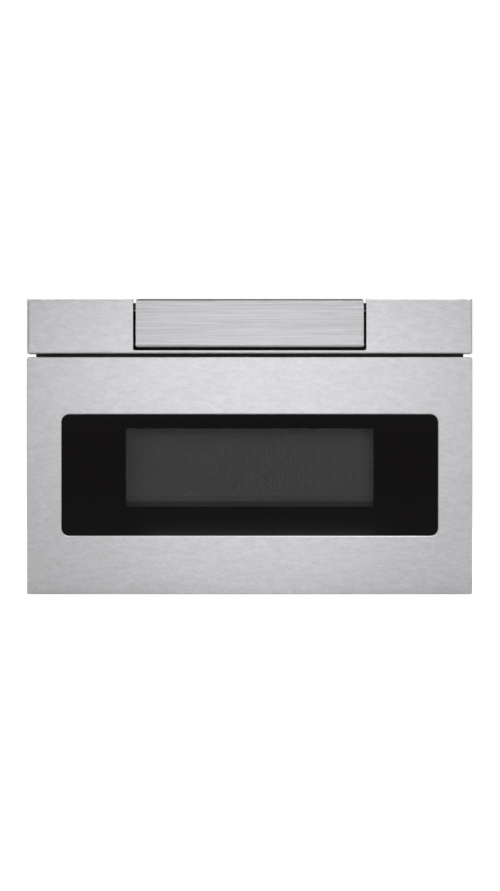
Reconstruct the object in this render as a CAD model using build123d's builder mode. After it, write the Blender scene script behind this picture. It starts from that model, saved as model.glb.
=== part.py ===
"""Built-in microwave drawer with a tilting control panel, as separate pieces in millimetres.

X runs to the viewer's right, the front faces -Y and Z is up. The origin is the bottom centre of the
bounding box. Widths are stacked from the drawer's inside outwards, heights from the base upwards and
depths from the front face backwards, so each piece takes its place from the pieces that it fits.
"""

import os
from math import acos, atan2, cos, degrees, pi, radians, sin, sqrt, tan

from build123d import *

os.makedirs("parts", exist_ok=True)

# ---- driving dimensions: widths, from the drawer's inside outwards
bin_width = 440.0
bin_wall = 3.0
bin_side_clearance = 8.0
oven_sheet = 1.0
choke_width = 15.0
rack_clearance = 2.8
rack_width = 9.0
arm_sheet = 1.5
slide_depth = 12.7
bracket_sheet = 1.2
cover_sheet = 0.8
flange_lap = 18.0
front_overhang = 10.4

# ---- driving dimensions: heights, from the front's lower edge upwards
base_rise = 11.2
base_sheet = 1.0
pinion_floor_clearance = 2.8
rack_back_height = 8.0
slide_height = 45.0
shaft_to_oven_floor = 30.5
glide_gap = 0.3
glide_height = 2.2
ceramic_thickness = 5.0
bin_depth_inside = 178.0
bin_ceiling_clearance = 12.0
well_height = 18.0
waveguide_height = 30.0
magnetron_height = 65.0
magnetron_top_clearance = 4.4
front_above_chassis = 21.8
fascia_height = 75.4
front_gap = 4.5

# ---- driving dimensions: depths, from the front face backwards
front_sheet = 0.8
glass_thickness = 4.0
choke_plate_depth = 13.0
frame_sheet = 0.8
choke_depth = 19.5
choke_cover_thickness = 1.2
choke_gap = 0.3
flange_sheet = 1.2
inner_glass_thickness = 3.0
bin_length_inside = 420.0
bin_rear_clearance = 5.2
rear_bay = 142.0

# ---- driving dimensions: the drawer front's windows
window_width = 513.1
window_height = 165.9
window_bottom = 79.6
window_radius = 11.0
window_bevel_width = 1.3
window_bevel_depth = 0.5
clear_width = 337.4
clear_height = 106.9
clear_bottom = 119.2
screen_bottom = 131.4
screen_clearance = 2.0
glass_bond = 8.0
screen_bond = 5.0

# ---- driving dimensions: the control panel and its notch
notch_width = 317.9
notch_lip = 4.5
panel_side_gap = 3.8
panel_floor_gap = 4.1
panel_drop = 0.9
roll_radius = 4.0
panel_rear_radius = 54.0
panel_sweep = 45.0
skin_sheet = 0.6
touch_glass = 3.0
board_sheet = 1.6
housing_wall = 2.0
pin_radius = 2.0
recess_wall = 1.2
recess_clearance = 1.2
recess_end_wall = 2.0

# ---- driving dimensions: drive and slides
drawer_travel = 381.0
rack_module = 2.0
pinion_teeth = 14
drive_module = 1.25
shaft_gear_teeth = 24
motor_pinion_teeth = 12
tilt_module = 1.0
tilt_gear_teeth = 18
damper_teeth = 12
pressure_angle = 25.0
root_share = 1.25
backlash = 0.35
mesh_clearance = 0.1
shaft_radius = 4.0
running_clearance = 0.05
seat_gap = 0.3
slide_length = 480.0
slide_sheet = 1.2
cage_length = 260.0
switch_travel = 1.5
rack_end = 14.0
pinion_setback = 28.0
slide_setback = 8.0

# ---- driving dimensions: arm flanges, screws and latch hooks
arm_flange = 26.0
screw_radius = 1.5
screw_hole_radius = 1.7
screw_head_radius = 4.0
screw_head_height = 2.4
screw_point = 4.0
hook_width = 6.0
hook_height = 10.0
hook_drop = 97.0
hook_reach = 12.0
hook_clearance = 2.5
mount_hole_radius = 2.25
mount_hole_inset = 6.8
mount_hole_low = 40.0
mount_hole_high = 300.0

# ---- widths worked out
bin_half = bin_width / 2
oven_half = bin_half + bin_wall + bin_side_clearance
oven_outer_half = oven_half + oven_sheet
choke_half = oven_half + choke_width
rack_inner_x = choke_half + rack_clearance
arm_inner_x = rack_inner_x + rack_width
slide_inner_x = arm_inner_x + arm_sheet
slide_outer_x = slide_inner_x + slide_depth
bracket_outer_x = slide_outer_x + bracket_sheet
pan_half = bracket_outer_x + cover_sheet
chassis_half = pan_half + cover_sheet
flange_half = chassis_half + flange_lap
front_half = flange_half + front_overhang

# ---- heights worked out
base_top = base_rise + base_sheet
rack_pitch_radius = rack_module * pinion_teeth / 2
shaft_z = base_top + pinion_floor_clearance + rack_pitch_radius + rack_module
rack_pitch_z = shaft_z + rack_pitch_radius
rack_root_z = rack_pitch_z + root_share * rack_module
rack_top_z = rack_root_z + rack_back_height
slide_bottom_z = rack_top_z + 1.0
slide_z = slide_bottom_z + slide_height / 2
oven_floor_z = shaft_z + shaft_to_oven_floor
bin_bottom_z = oven_floor_z + glide_gap + glide_height
bin_floor_z = bin_bottom_z + bin_wall
bin_inside_z = bin_floor_z + ceramic_thickness
bin_top_z = bin_inside_z + bin_depth_inside
ceiling_z = bin_top_z + bin_ceiling_clearance
well_top_z = ceiling_z + oven_sheet + well_height
waveguide_top_z = well_top_z + waveguide_height
cover_under_z = waveguide_top_z + magnetron_height + magnetron_top_clearance
chassis_top = cover_under_z + cover_sheet
front_top = chassis_top + front_above_chassis
fascia_bottom = front_top - fascia_height
drawer_top = fascia_bottom - front_gap

# ---- depths worked out, with the bounding box's middle at Y = 0
choke_plate_rear = choke_plate_depth + frame_sheet
flange_front_depth = choke_plate_rear + choke_depth + choke_cover_thickness + choke_gap
front_proud = flange_front_depth + flange_sheet
oven_rear_depth = (
    choke_plate_rear + inner_glass_thickness + bin_length_inside + bin_wall + bin_rear_clearance
)
overall_depth = oven_rear_depth + oven_sheet + rear_bay
face_y = -overall_depth / 2
back_y = overall_depth / 2
choke_plate_y = face_y + choke_plate_depth
door_rear_y = face_y + choke_plate_rear
flange_front_y = face_y + flange_front_depth
cabinet_y = face_y + front_proud
bin_front_y = door_rear_y
bin_inside_rear_y = door_rear_y + inner_glass_thickness + bin_length_inside
oven_rear_y = face_y + oven_rear_depth
panel_inset = 3.0
panel_y = back_y - panel_inset

pinion_y = cabinet_y + pinion_setback
slide_front_y = cabinet_y + slide_setback
slide_rear_y = slide_front_y + slide_length
arm_screw_x = slide_inner_x + arm_flange * 0.6
arm_screw_heights = (slide_z - slide_height / 3, slide_z + slide_height / 3)
hook_x = (rack_inner_x + slide_outer_x) / 2
hook_z = ceiling_z - hook_drop
hook_tip_y = cabinet_y + hook_reach

# ---- control panel worked out
notch_floor_z = fascia_bottom + notch_lip
panel_half = notch_width / 2 - panel_side_gap
panel_bottom_z = notch_floor_z + panel_floor_gap
panel_top_z = front_top - panel_drop
pivot_y = face_y + roll_radius
pivot_z = panel_bottom_z + roll_radius
recess_inner_radius = panel_rear_radius + recess_clearance
recess_outer_radius = recess_inner_radius + recess_wall

mirrored = Plane.YZ


def front_plane(y):
    """A plane that faces the front at depth y: its own x is X and its own y is Z."""
    return Plane(origin=(0, y, 0), x_dir=(1, 0, 0), z_dir=(0, -1, 0))


def panel_point(along, off=0.0, lean=radians(45)):
    """A point of the panel's section, along and behind the line that leans back from the pivot."""
    return (
        pivot_y + along * sin(lean) + off * cos(lean),
        pivot_z + along * cos(lean) - off * sin(lean),
    )


def tooth_flank(module, teeth, steps=2):
    """Radius and half angle along one involute flank, thinned by the backlash, from root to tip."""
    pitch = module * teeth / 2
    base = pitch * cos(radians(pressure_angle))
    tip = pitch + module
    start = max(base, pitch - module)
    at_pitch = tan(radians(pressure_angle)) - radians(pressure_angle)
    half_pitch = pi / (2 * teeth) - backlash / 2 / pitch
    flank = []
    for step in range(steps + 1):
        radius = start + (tip - start) * step / steps
        angle = acos(min(1.0, base / radius))
        flank.append((radius, half_pitch + at_pitch - (tan(angle) - angle)))
    return flank


def gear_points(module, teeth, turn=0.0):
    """The closed outline of a spur gear with a tooth at the angle turn, in radians."""
    root = module * teeth / 2 - root_share * module
    points = []
    for tooth in range(teeth):
        middle = turn + 2 * pi * tooth / teeth
        flank = tooth_flank(module, teeth)
        rising = [(root, flank[0][1])] + flank
        for radius, half in rising:
            points.append((radius * cos(middle - half), radius * sin(middle - half)))
        for radius, half in reversed(rising):
            points.append((radius * cos(middle + half), radius * sin(middle + half)))
    return points


# =====================================================================================================
# Drawer front and door
# =====================================================================================================

# Stainless drawer front: a pan of bent sheet with a round-cornered window that has a coined edge.
front_corner_top = 2.7
front_corner_bottom = 2.0
front_bend = 1.2
front_to_flange = 3.0
front_return = flange_front_depth - front_to_flange
with BuildPart() as drawer_front:
    with BuildSketch(front_plane(face_y + front_return)) as outline:
        with Locations((0, drawer_top / 2)):
            Rectangle(2 * front_half, drawer_top)
        corners = outline.vertices().group_by(Axis.Z)
        fillet(corners[-1], front_corner_top)
        fillet(corners[0], front_corner_bottom)
    extrude(amount=front_return)
    fillet(drawer_front.faces().sort_by(Axis.Y)[0].outer_wire().edges(), front_bend)
    offset(amount=-front_sheet, openings=drawer_front.faces().sort_by(Axis.Y)[-1])
    with BuildSketch(front_plane(face_y + front_return)):
        with Locations((0, window_bottom + window_height / 2)):
            RectangleRounded(window_width, window_height, window_radius)
    extrude(amount=front_return, mode=Mode.SUBTRACT)
    for depth, spread in ((0, window_bevel_width), (window_bevel_depth, 0)):
        with BuildSketch(front_plane(face_y + depth)):
            with Locations((0, window_bottom + window_height / 2)):
                RectangleRounded(
                    window_width + 2 * spread, window_height + 2 * spread, window_radius + spread
                )
    loft(ruled=True, mode=Mode.SUBTRACT)

# Outer black glass, bonded to the back of the stainless around the window.
glass_rear_y = face_y + front_sheet + glass_thickness
with BuildPart() as door_glass:
    with BuildSketch(front_plane(glass_rear_y)):
        with Locations((0, window_bottom + window_height / 2)):
            RectangleRounded(
                window_width + 2 * glass_bond, window_height + 2 * glass_bond, window_radius + glass_bond
            )
    extrude(amount=glass_thickness)

# Choke frame: the door's inner panel, seated all round inside the front's returns, with its folded,
# slotted choke channel and the window opening.
choke_bottom_z = oven_floor_z - choke_width
choke_top_z = ceiling_z + choke_width
choke_middle_z = (choke_bottom_z + choke_top_z) / 2
choke_height = choke_top_z - choke_bottom_z
choke_rear_y = door_rear_y + choke_depth
finger_pitch = 30.0
finger_slot = 5.0
finger_length = 13.0
mouth_lap = 2.0
channel_half = oven_half - mouth_lap
channel_bottom = oven_floor_z + mouth_lap
channel_height = ceiling_z - mouth_lap - channel_bottom
channel_middle_z = channel_bottom + channel_height / 2
screen_top = clear_bottom + clear_height + screen_clearance
screen_half = clear_width / 2 + screen_clearance
with BuildPart() as choke_frame:
    with BuildSketch(front_plane(door_rear_y)) as outline:
        with Locations((0, drawer_top / 2)):
            Rectangle(2 * (front_half - front_sheet), drawer_top - 2 * front_sheet)
        corners = outline.vertices().group_by(Axis.Z)
        fillet(corners[-1], front_corner_top - front_sheet)
        fillet(corners[0], front_corner_bottom - front_sheet)
        with Locations((0, (screen_bottom + screen_top) / 2)):
            Rectangle(2 * screen_half, screen_top - screen_bottom, mode=Mode.SUBTRACT)
        with Locations([(side * arm_screw_x, z) for side in (-1, 1) for z in arm_screw_heights]):
            Circle(screw_hole_radius, mode=Mode.SUBTRACT)
    extrude(amount=frame_sheet)
    with BuildSketch(front_plane(choke_rear_y)):
        with Locations((0, choke_middle_z)):
            Rectangle(2 * choke_half, choke_height)
            Rectangle(2 * (choke_half - frame_sheet), choke_height - 2 * frame_sheet, mode=Mode.SUBTRACT)
        with Locations((0, channel_middle_z)):
            Rectangle(2 * (channel_half + frame_sheet), channel_height + 2 * frame_sheet)
            Rectangle(2 * channel_half, channel_height, mode=Mode.SUBTRACT)
    extrude(amount=choke_depth)
    finger_y = choke_rear_y - finger_length / 2
    columns = int((2 * channel_half - 2 * finger_slot) // finger_pitch)
    rows = int((channel_height - 2 * finger_slot) // finger_pitch)
    with BuildSketch(Plane.XY.offset(channel_bottom - 2 * frame_sheet)):
        with Locations((0, finger_y)):
            with GridLocations(finger_pitch, 1, columns, 1):
                Rectangle(finger_slot, finger_length)
    extrude(amount=channel_height + 4 * frame_sheet, mode=Mode.SUBTRACT)
    with BuildSketch(Plane.YZ.offset(-channel_half - 2 * frame_sheet)):
        with Locations((finger_y, channel_middle_z)):
            with GridLocations(1, finger_pitch, 1, rows):
                Rectangle(finger_length, finger_slot)
    extrude(amount=2 * channel_half + 4 * frame_sheet, mode=Mode.SUBTRACT)

# Perforated screen in front of the choke frame's window; its holes are finer than this model holds.
screen_sheet = 0.6
with BuildPart() as door_screen:
    with BuildSketch(front_plane(choke_plate_y)):
        with Locations((0, (screen_bottom + screen_top) / 2)):
            Rectangle(2 * (screen_half + screen_bond), screen_top - screen_bottom + 2 * screen_bond)
    extrude(amount=screen_sheet)

# Plastic cap that closes the choke channel towards the oven.
cap_skirt = 4.0
cap_half = choke_half - frame_sheet - seat_gap
cap_height = choke_height - 2 * frame_sheet - 2 * seat_gap
with BuildPart() as choke_cover:
    with BuildSketch(front_plane(choke_rear_y + choke_cover_thickness)):
        with Locations((0, choke_middle_z)):
            RectangleRounded(2 * choke_half, choke_height, 3)
        with Locations((0, channel_middle_z)):
            Rectangle(2 * channel_half, channel_height, mode=Mode.SUBTRACT)
    extrude(amount=choke_cover_thickness)
    with BuildSketch(front_plane(choke_rear_y)):
        with Locations((0, choke_middle_z)):
            Rectangle(2 * cap_half, cap_height)
            Rectangle(
                2 * (cap_half - choke_cover_thickness),
                cap_height - 2 * choke_cover_thickness,
                mode=Mode.SUBTRACT,
            )
    extrude(amount=cap_skirt)

# Inner glass against the choke frame, inside the bin's open front.
with BuildPart() as inner_glass:
    with BuildSketch(front_plane(door_rear_y + inner_glass_thickness)):
        with Locations((0, (bin_inside_z + bin_top_z) / 2)):
            RectangleRounded(bin_width - 2 * seat_gap, bin_depth_inside - 2 * seat_gap, 4)
    extrude(amount=inner_glass_thickness)

# =====================================================================================================
# Drawer bin, arms, racks and inner slide members
# =====================================================================================================

# Moulded bin: open at the top and towards the door, with round rear corners and a rim.
bin_corner = 24.0
bin_foot = 5.0
rim_width = 3.5
rim_height = 3.0
bin_outer_rear_y = bin_inside_rear_y + bin_wall
bin_outer_half = bin_half + bin_wall
with BuildPart() as drawer_bin:
    with BuildSketch(Plane.XY.offset(bin_bottom_z)) as outline:
        with Locations((0, (bin_front_y + bin_outer_rear_y) / 2)):
            Rectangle(2 * bin_outer_half, bin_outer_rear_y - bin_front_y)
        fillet(outline.vertices().group_by(Axis.Y)[-1], bin_corner)
    extrude(amount=bin_top_z - bin_bottom_z)
    fillet(drawer_bin.faces().sort_by(Axis.Z)[0].edges().sort_by(Axis.Y)[1:], bin_foot)
    offset(
        amount=-bin_wall,
        openings=[drawer_bin.faces().sort_by(Axis.Z)[-1], drawer_bin.faces().sort_by(Axis.Y)[0]],
    )
    with BuildSketch(Plane.XY.offset(bin_top_z - rim_height)) as rim:
        with Locations((0, (bin_front_y + bin_outer_rear_y + rim_width) / 2)):
            Rectangle(2 * (bin_outer_half + rim_width), bin_outer_rear_y + rim_width - bin_front_y)
        fillet(rim.vertices().group_by(Axis.Y)[-1], bin_corner + rim_width)
        with BuildSketch(mode=Mode.PRIVATE) as rim_inside:
            with Locations((0, (bin_front_y + bin_outer_rear_y - bin_wall / 2) / 2)):
                Rectangle(2 * bin_outer_half - bin_wall, bin_outer_rear_y - bin_wall / 2 - bin_front_y)
            fillet(rim_inside.vertices().group_by(Axis.Y)[-1], bin_corner - bin_wall / 2)
        add(rim_inside.sketch, mode=Mode.SUBTRACT)
    extrude(amount=rim_height)

# Ceramic floor plate lying on the bin's bottom.
ceramic_half = bin_half - (bin_foot - bin_wall) - seat_gap
ceramic_front_y = bin_front_y + inner_glass_thickness + seat_gap
ceramic_rear_y = bin_inside_rear_y - (bin_foot - bin_wall) - seat_gap
with BuildPart() as ceramic_floor:
    with BuildSketch(Plane.XY.offset(bin_floor_z)) as outline:
        with Locations((0, (ceramic_front_y + ceramic_rear_y) / 2)):
            Rectangle(2 * ceramic_half, ceramic_rear_y - ceramic_front_y)
        fillet(outline.vertices().group_by(Axis.Y)[-1], bin_corner - bin_wall)
    extrude(amount=ceramic_thickness)

# Glides under the bin that run on the oven floor.
glide_length = 70.0
glide_width = 14.0
glide_side = 70.0
glide_x = bin_half - glide_side
glide_inset = 90.0
with BuildPart() as bin_glides:
    with BuildSketch(Plane.XY.offset(oven_floor_z + glide_gap)):
        with Locations([(side * glide_x, bin_inside_rear_y - glide_inset) for side in (-1, 1)]):
            SlotOverall(glide_length, glide_width, rotation=90)
    extrude(amount=glide_height)

# Arms that carry the drawer front on the slides: a long web with a front flange, left and right.
arm_flange_y = door_rear_y + arm_sheet
arm_height = slide_bottom_z + slide_height - rack_root_z
arm_bend = 3.0
with BuildPart() as drawer_arms:
    with BuildSketch(Plane.XY.offset(rack_root_z)) as plan:
        with BuildLine():
            Polyline(
                (arm_inner_x, slide_rear_y),
                (slide_inner_x, slide_rear_y),
                (slide_inner_x, arm_flange_y),
                (arm_inner_x + arm_flange, arm_flange_y),
                (arm_inner_x + arm_flange, door_rear_y),
                (arm_inner_x, door_rear_y),
                close=True,
            )
        make_face()
        fillet(plan.vertices().sort_by_distance((arm_inner_x, door_rear_y))[0], arm_bend)
    extrude(amount=arm_height)
    with BuildSketch(front_plane(arm_flange_y + 1)):
        with Locations([(arm_screw_x, z) for z in arm_screw_heights]):
            Circle(screw_hole_radius)
    extrude(amount=arm_sheet + 2, mode=Mode.SUBTRACT)
    mirror(about=mirrored)

# Screws that hold the arms' flanges to the choke frame.
with BuildPart() as door_screws:
    with BuildSketch(front_plane(arm_flange_y + screw_head_height)):
        with Locations([(side * arm_screw_x, z) for side in (-1, 1) for z in arm_screw_heights]):
            RegularPolygon(screw_head_radius, 6)
    extrude(amount=screw_head_height)
    with BuildSketch(front_plane(arm_flange_y)):
        with Locations([(side * arm_screw_x, z) for side in (-1, 1) for z in arm_screw_heights]):
            Circle(screw_radius)
    extrude(amount=arm_sheet + frame_sheet + screw_point)

# Toothed racks on the arms, teeth down, with a tooth gap above each pinion's middle.
rack_pitch = pi * rack_module
rack_front_y = pinion_y - rack_end
rack_rear_y = pinion_y + drawer_travel + rack_end
rack_half_pitch = rack_pitch / 4 - backlash / 2
rack_tooth_root = root_share * rack_module
tooth_slope = tan(radians(pressure_angle))
rack_teeth = [
    pinion_y + (step + 0.5) * rack_pitch
    for step in range(-4, int((drawer_travel + rack_end) / rack_pitch) + 1)
    if rack_front_y + rack_pitch / 2 < pinion_y + (step + 0.5) * rack_pitch < rack_rear_y - rack_pitch / 2
]
rack_tooth = [
    (-rack_half_pitch - rack_tooth_root * tooth_slope, rack_tooth_root),
    (-rack_half_pitch + rack_module * tooth_slope, -rack_module),
    (rack_half_pitch - rack_module * tooth_slope, -rack_module),
    (rack_half_pitch + rack_tooth_root * tooth_slope, rack_tooth_root),
]
with BuildPart() as drive_racks:
    with BuildSketch(Plane.YZ.offset(rack_inner_x)):
        with Locations(((rack_front_y + rack_rear_y) / 2, (rack_root_z + rack_top_z) / 2)):
            Rectangle(rack_rear_y - rack_front_y, rack_top_z - rack_root_z)
        with Locations([(y, rack_pitch_z) for y in rack_teeth]):
            Polygon(*rack_tooth, align=None)
    extrude(amount=rack_width)
    mirror(about=mirrored)

# Hooks on the door panel that press the interlock switches.
hook_foot = 2.0
hook_root = 5.0
barb_length = 8.0
barb_rise = 1.0
hook_low_z = hook_z - hook_height / 2
hook_high_z = hook_z + hook_height / 2 - barb_rise
with BuildPart() as latch_hooks:
    with BuildSketch(Plane.YZ.offset(hook_x - hook_width / 2)) as profile:
        with BuildLine():
            Polyline(
                (door_rear_y, hook_z - hook_height),
                (door_rear_y + hook_foot, hook_z - hook_height),
                (door_rear_y + hook_root, hook_low_z),
                (hook_tip_y, hook_low_z),
                (hook_tip_y, hook_high_z - barb_rise),
                (hook_tip_y - barb_length / 2, hook_high_z + 2 * barb_rise),
                (hook_tip_y - barb_length + barb_rise, hook_high_z + 2 * barb_rise),
                (hook_tip_y - barb_length, hook_high_z),
                (door_rear_y + hook_root, hook_high_z),
                (door_rear_y + hook_foot, hook_z + hook_height),
                (door_rear_y, hook_z + hook_height),
                close=True,
            )
        make_face()
    extrude(amount=hook_width)
    mirror(about=mirrored)


def channel(web_depth, lip_depth, half_height, sheet):
    """Corners of a slide member's section; its depths run inwards from the slide's outer face."""
    web_x = slide_outer_x - web_depth
    lip_x = slide_outer_x - lip_depth
    inside_x = web_x - sheet if lip_depth > web_depth else web_x + sheet
    return [
        (web_x, slide_z - half_height),
        (lip_x, slide_z - half_height),
        (lip_x, slide_z - half_height + sheet),
        (inside_x, slide_z - half_height + sheet),
        (inside_x, slide_z + half_height - sheet),
        (lip_x, slide_z + half_height - sheet),
        (lip_x, slide_z + half_height),
        (web_x, slide_z + half_height),
    ]


# Inner slide members, screwed flat to the arms.
member_step = 4.5
middle_half = slide_height / 2 - member_step
inner_half = middle_half - member_step
web_gap = 0.8
middle_web_depth = slide_sheet + web_gap
outer_lip_depth = slide_depth - 3.7
middle_lip_depth = slide_depth - 2.5
inner_lip_depth = 4.5
with BuildPart() as slide_inner_members:
    with BuildSketch(front_plane(slide_rear_y)):
        with BuildLine():
            Polyline(*channel(slide_depth, inner_lip_depth, inner_half, slide_sheet), close=True)
        make_face()
    extrude(amount=slide_length)
    mirror(about=mirrored)

# Middle slide members: one each side, because each rides in its own slide.
with BuildPart() as right_slide_middle:
    with BuildSketch(front_plane(slide_rear_y)):
        with BuildLine():
            Polyline(*channel(middle_web_depth, middle_lip_depth, middle_half, slide_sheet), close=True)
        make_face()
    extrude(amount=slide_length)
with BuildPart() as left_slide_middle:
    add(right_slide_middle.part)
    mirror(about=mirrored, mode=Mode.REPLACE)

# Outer slide members, fixed to the brackets.
with BuildPart() as slide_outer_members:
    with BuildSketch(front_plane(slide_rear_y)):
        with BuildLine():
            Polyline(*channel(0, outer_lip_depth, slide_height / 2, slide_sheet), close=True)
        make_face()
    extrude(amount=slide_length)
    mirror(about=mirrored)


def cage_strips(low, high, near, far):
    """Two ball retainer strips, above and below the middle of the slide, between two nested members."""
    with BuildPart() as strips:
        with BuildSketch(front_plane(slide_front_y + (slide_length + cage_length) / 2)):
            for sign in (-1, 1):
                with Locations((slide_outer_x - (near + far) / 2, slide_z + sign * (low + high) / 2)):
                    Rectangle(far - near, high - low)
        extrude(amount=cage_length)
        mirror(about=mirrored)
    return strips


# Ball cages: the outer pair lies between outer and middle members, the inner pair between middle and inner.
outer_cage_inset = 2.0
inner_cage_inset = 1.0
outer_ball_cages = cage_strips(
    middle_half + seat_gap,
    slide_height / 2 - slide_sheet - seat_gap,
    middle_web_depth + web_gap / 2,
    outer_lip_depth - outer_cage_inset,
)
inner_ball_cages = cage_strips(
    inner_half + seat_gap,
    middle_half - slide_sheet - seat_gap,
    inner_lip_depth,
    middle_lip_depth - inner_cage_inset,
)

# Slide brackets: angles that stand on the base pan against its side flanges.
bracket_foot = 14.0
bracket_rise = 4.0
with BuildPart() as slide_brackets:
    with BuildSketch(front_plane(slide_rear_y)):
        with BuildLine():
            Polyline(
                (bracket_outer_x, base_top),
                (bracket_outer_x, slide_z + slide_height / 2 + bracket_rise),
                (slide_outer_x, slide_z + slide_height / 2 + bracket_rise),
                (slide_outer_x, base_top + bracket_sheet),
                (bracket_outer_x - bracket_foot, base_top + bracket_sheet),
                (bracket_outer_x - bracket_foot, base_top),
                close=True,
            )
        make_face()
    extrude(amount=slide_length)
    mirror(about=mirrored)

# =====================================================================================================
# Drive: cross shaft, pinions, gears and motor
# =====================================================================================================

shaft_end = 2.5
bearing_inset = 12.0
bearing_length = 4.0
bearing_radius = 6.0
bearing_flange = 1.2
shaft_gear_x = 90.0
shaft_gear_width = 8.0
motor_mesh = drive_module * (shaft_gear_teeth + motor_pinion_teeth) / 2 + mesh_clearance
motor_y = pinion_y + motor_mesh
motor_shaft_radius = 2.5
motor_shaft_length = 9.0

with BuildPart() as cross_shaft:
    with BuildSketch(Plane.YZ.offset(-arm_inner_x - shaft_end)):
        with Locations((pinion_y, shaft_z)):
            Circle(shaft_radius)
    extrude(amount=2 * (arm_inner_x + shaft_end))

# The two rack pinions and the driven gear, all pressed on the cross shaft.
with BuildPart() as shaft_gears:
    with BuildSketch(Plane.YZ.offset(rack_inner_x)):
        with Locations((pinion_y, shaft_z)):
            Polygon(*gear_points(rack_module, pinion_teeth, pi / 2), align=None)
            Circle(shaft_radius, mode=Mode.SUBTRACT)
    extrude(amount=rack_width)
    mirror(about=mirrored)
    with BuildSketch(Plane.YZ.offset(shaft_gear_x)):
        with Locations((pinion_y, shaft_z)):
            Polygon(*gear_points(drive_module, shaft_gear_teeth), align=None)
            Circle(shaft_radius, mode=Mode.SUBTRACT)
    extrude(amount=shaft_gear_width)

# Motor pinion with its own shaft stub.
with BuildPart() as motor_pinion:
    with BuildSketch(Plane.YZ.offset(shaft_gear_x)):
        with Locations((motor_y, shaft_z)):
            Polygon(
                *gear_points(drive_module, motor_pinion_teeth, pi + pi / motor_pinion_teeth), align=None
            )
    extrude(amount=shaft_gear_width)
    with BuildSketch(Plane.YZ.offset(shaft_gear_x)):
        with Locations((motor_y, shaft_z)):
            Circle(motor_shaft_radius)
    extrude(amount=shaft_gear_width + motor_shaft_length)

# Geared motor that stands on the base pan: gearbox, end boss and motor can.
gearbox_gap = 2.0
gearbox_x = shaft_gear_x + shaft_gear_width + gearbox_gap
gearbox_length = 26.0
gearbox_width = 34.0
gearbox_height = shaft_z + 16.0 - base_top
can_radius = 14.0
can_length = 48.0
gearbox_ahead = 10.0
can_ahead = 8.0
motor_bore_depth = 12.0
with BuildPart() as drive_motor:
    with BuildSketch(Plane.YZ.offset(gearbox_x)):
        with Locations((motor_y + gearbox_width / 2 - gearbox_ahead, base_top + gearbox_height / 2)):
            RectangleRounded(gearbox_width, gearbox_height, 3)
    extrude(amount=gearbox_length)
    with BuildSketch(Plane.YZ.offset(gearbox_x + gearbox_length)):
        with Locations((motor_y + gearbox_width / 2 - can_ahead, shaft_z)):
            Circle(can_radius)
    extrude(amount=can_length)
    chamfer(drive_motor.faces().sort_by(Axis.X)[-1].edges(), 2)
    with BuildSketch(Plane.YZ.offset(gearbox_x)):
        with Locations((motor_y, shaft_z)):
            Circle(motor_shaft_radius + running_clearance)
    extrude(amount=motor_bore_depth, mode=Mode.SUBTRACT)

# Shaft brackets on the base pan, with flanged bushes for the cross shaft.
bearing_x = rack_inner_x - bearing_inset
bracket_width = 26.0
bearing_foot = 12.0
with BuildPart() as shaft_brackets:
    with BuildSketch(Plane.YZ.offset(bearing_x)):
        with Locations((pinion_y, (base_top + shaft_z) / 2)):
            Rectangle(bracket_width, shaft_z - base_top)
        with Locations((pinion_y, shaft_z)):
            Circle(bracket_width / 2)
            Circle(bearing_radius, mode=Mode.SUBTRACT)
    extrude(amount=arm_sheet)
    with BuildSketch(Plane.XY.offset(base_top)):
        with Locations((bearing_x - bearing_foot / 2, pinion_y)):
            Rectangle(bearing_foot, bracket_width)
    extrude(amount=arm_sheet)
    mirror(about=mirrored)

with BuildPart() as shaft_bushes:
    with BuildSketch(Plane.YZ.offset(bearing_x)):
        with Locations((pinion_y, shaft_z)):
            Circle(bearing_radius)
            Circle(shaft_radius + running_clearance, mode=Mode.SUBTRACT)
    extrude(amount=bearing_length)
    with BuildSketch(Plane.YZ.offset(bearing_x + arm_sheet)):
        with Locations((pinion_y, shaft_z)):
            Circle(bearing_radius + 2)
            Circle(bearing_radius, mode=Mode.SUBTRACT)
    extrude(amount=bearing_flange)
    mirror(about=mirrored)

# =====================================================================================================
# Chassis
# =====================================================================================================

rear_lip = 12.0
pan_flange_height = 15.0
vent_length = 46.0
vent_width = 4.0
vent_pitch = 11.0
vent_rows = 6
side_vent_inset = 70.0
pan_vent_inset = 60.0
pan_vent_pitch = 15.4
pan_vent_count = 12
cover_notch_gap = 2.0
recess_half = notch_width / 2 + seat_gap
recess_outer_half = recess_half + recess_end_wall
recess_floor_z = notch_floor_z + seat_gap
roof_reach = sqrt(recess_outer_radius**2 - (cover_under_z - pivot_z) ** 2)
cover_notch_rear_y = pivot_y + roof_reach + cover_notch_gap

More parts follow.
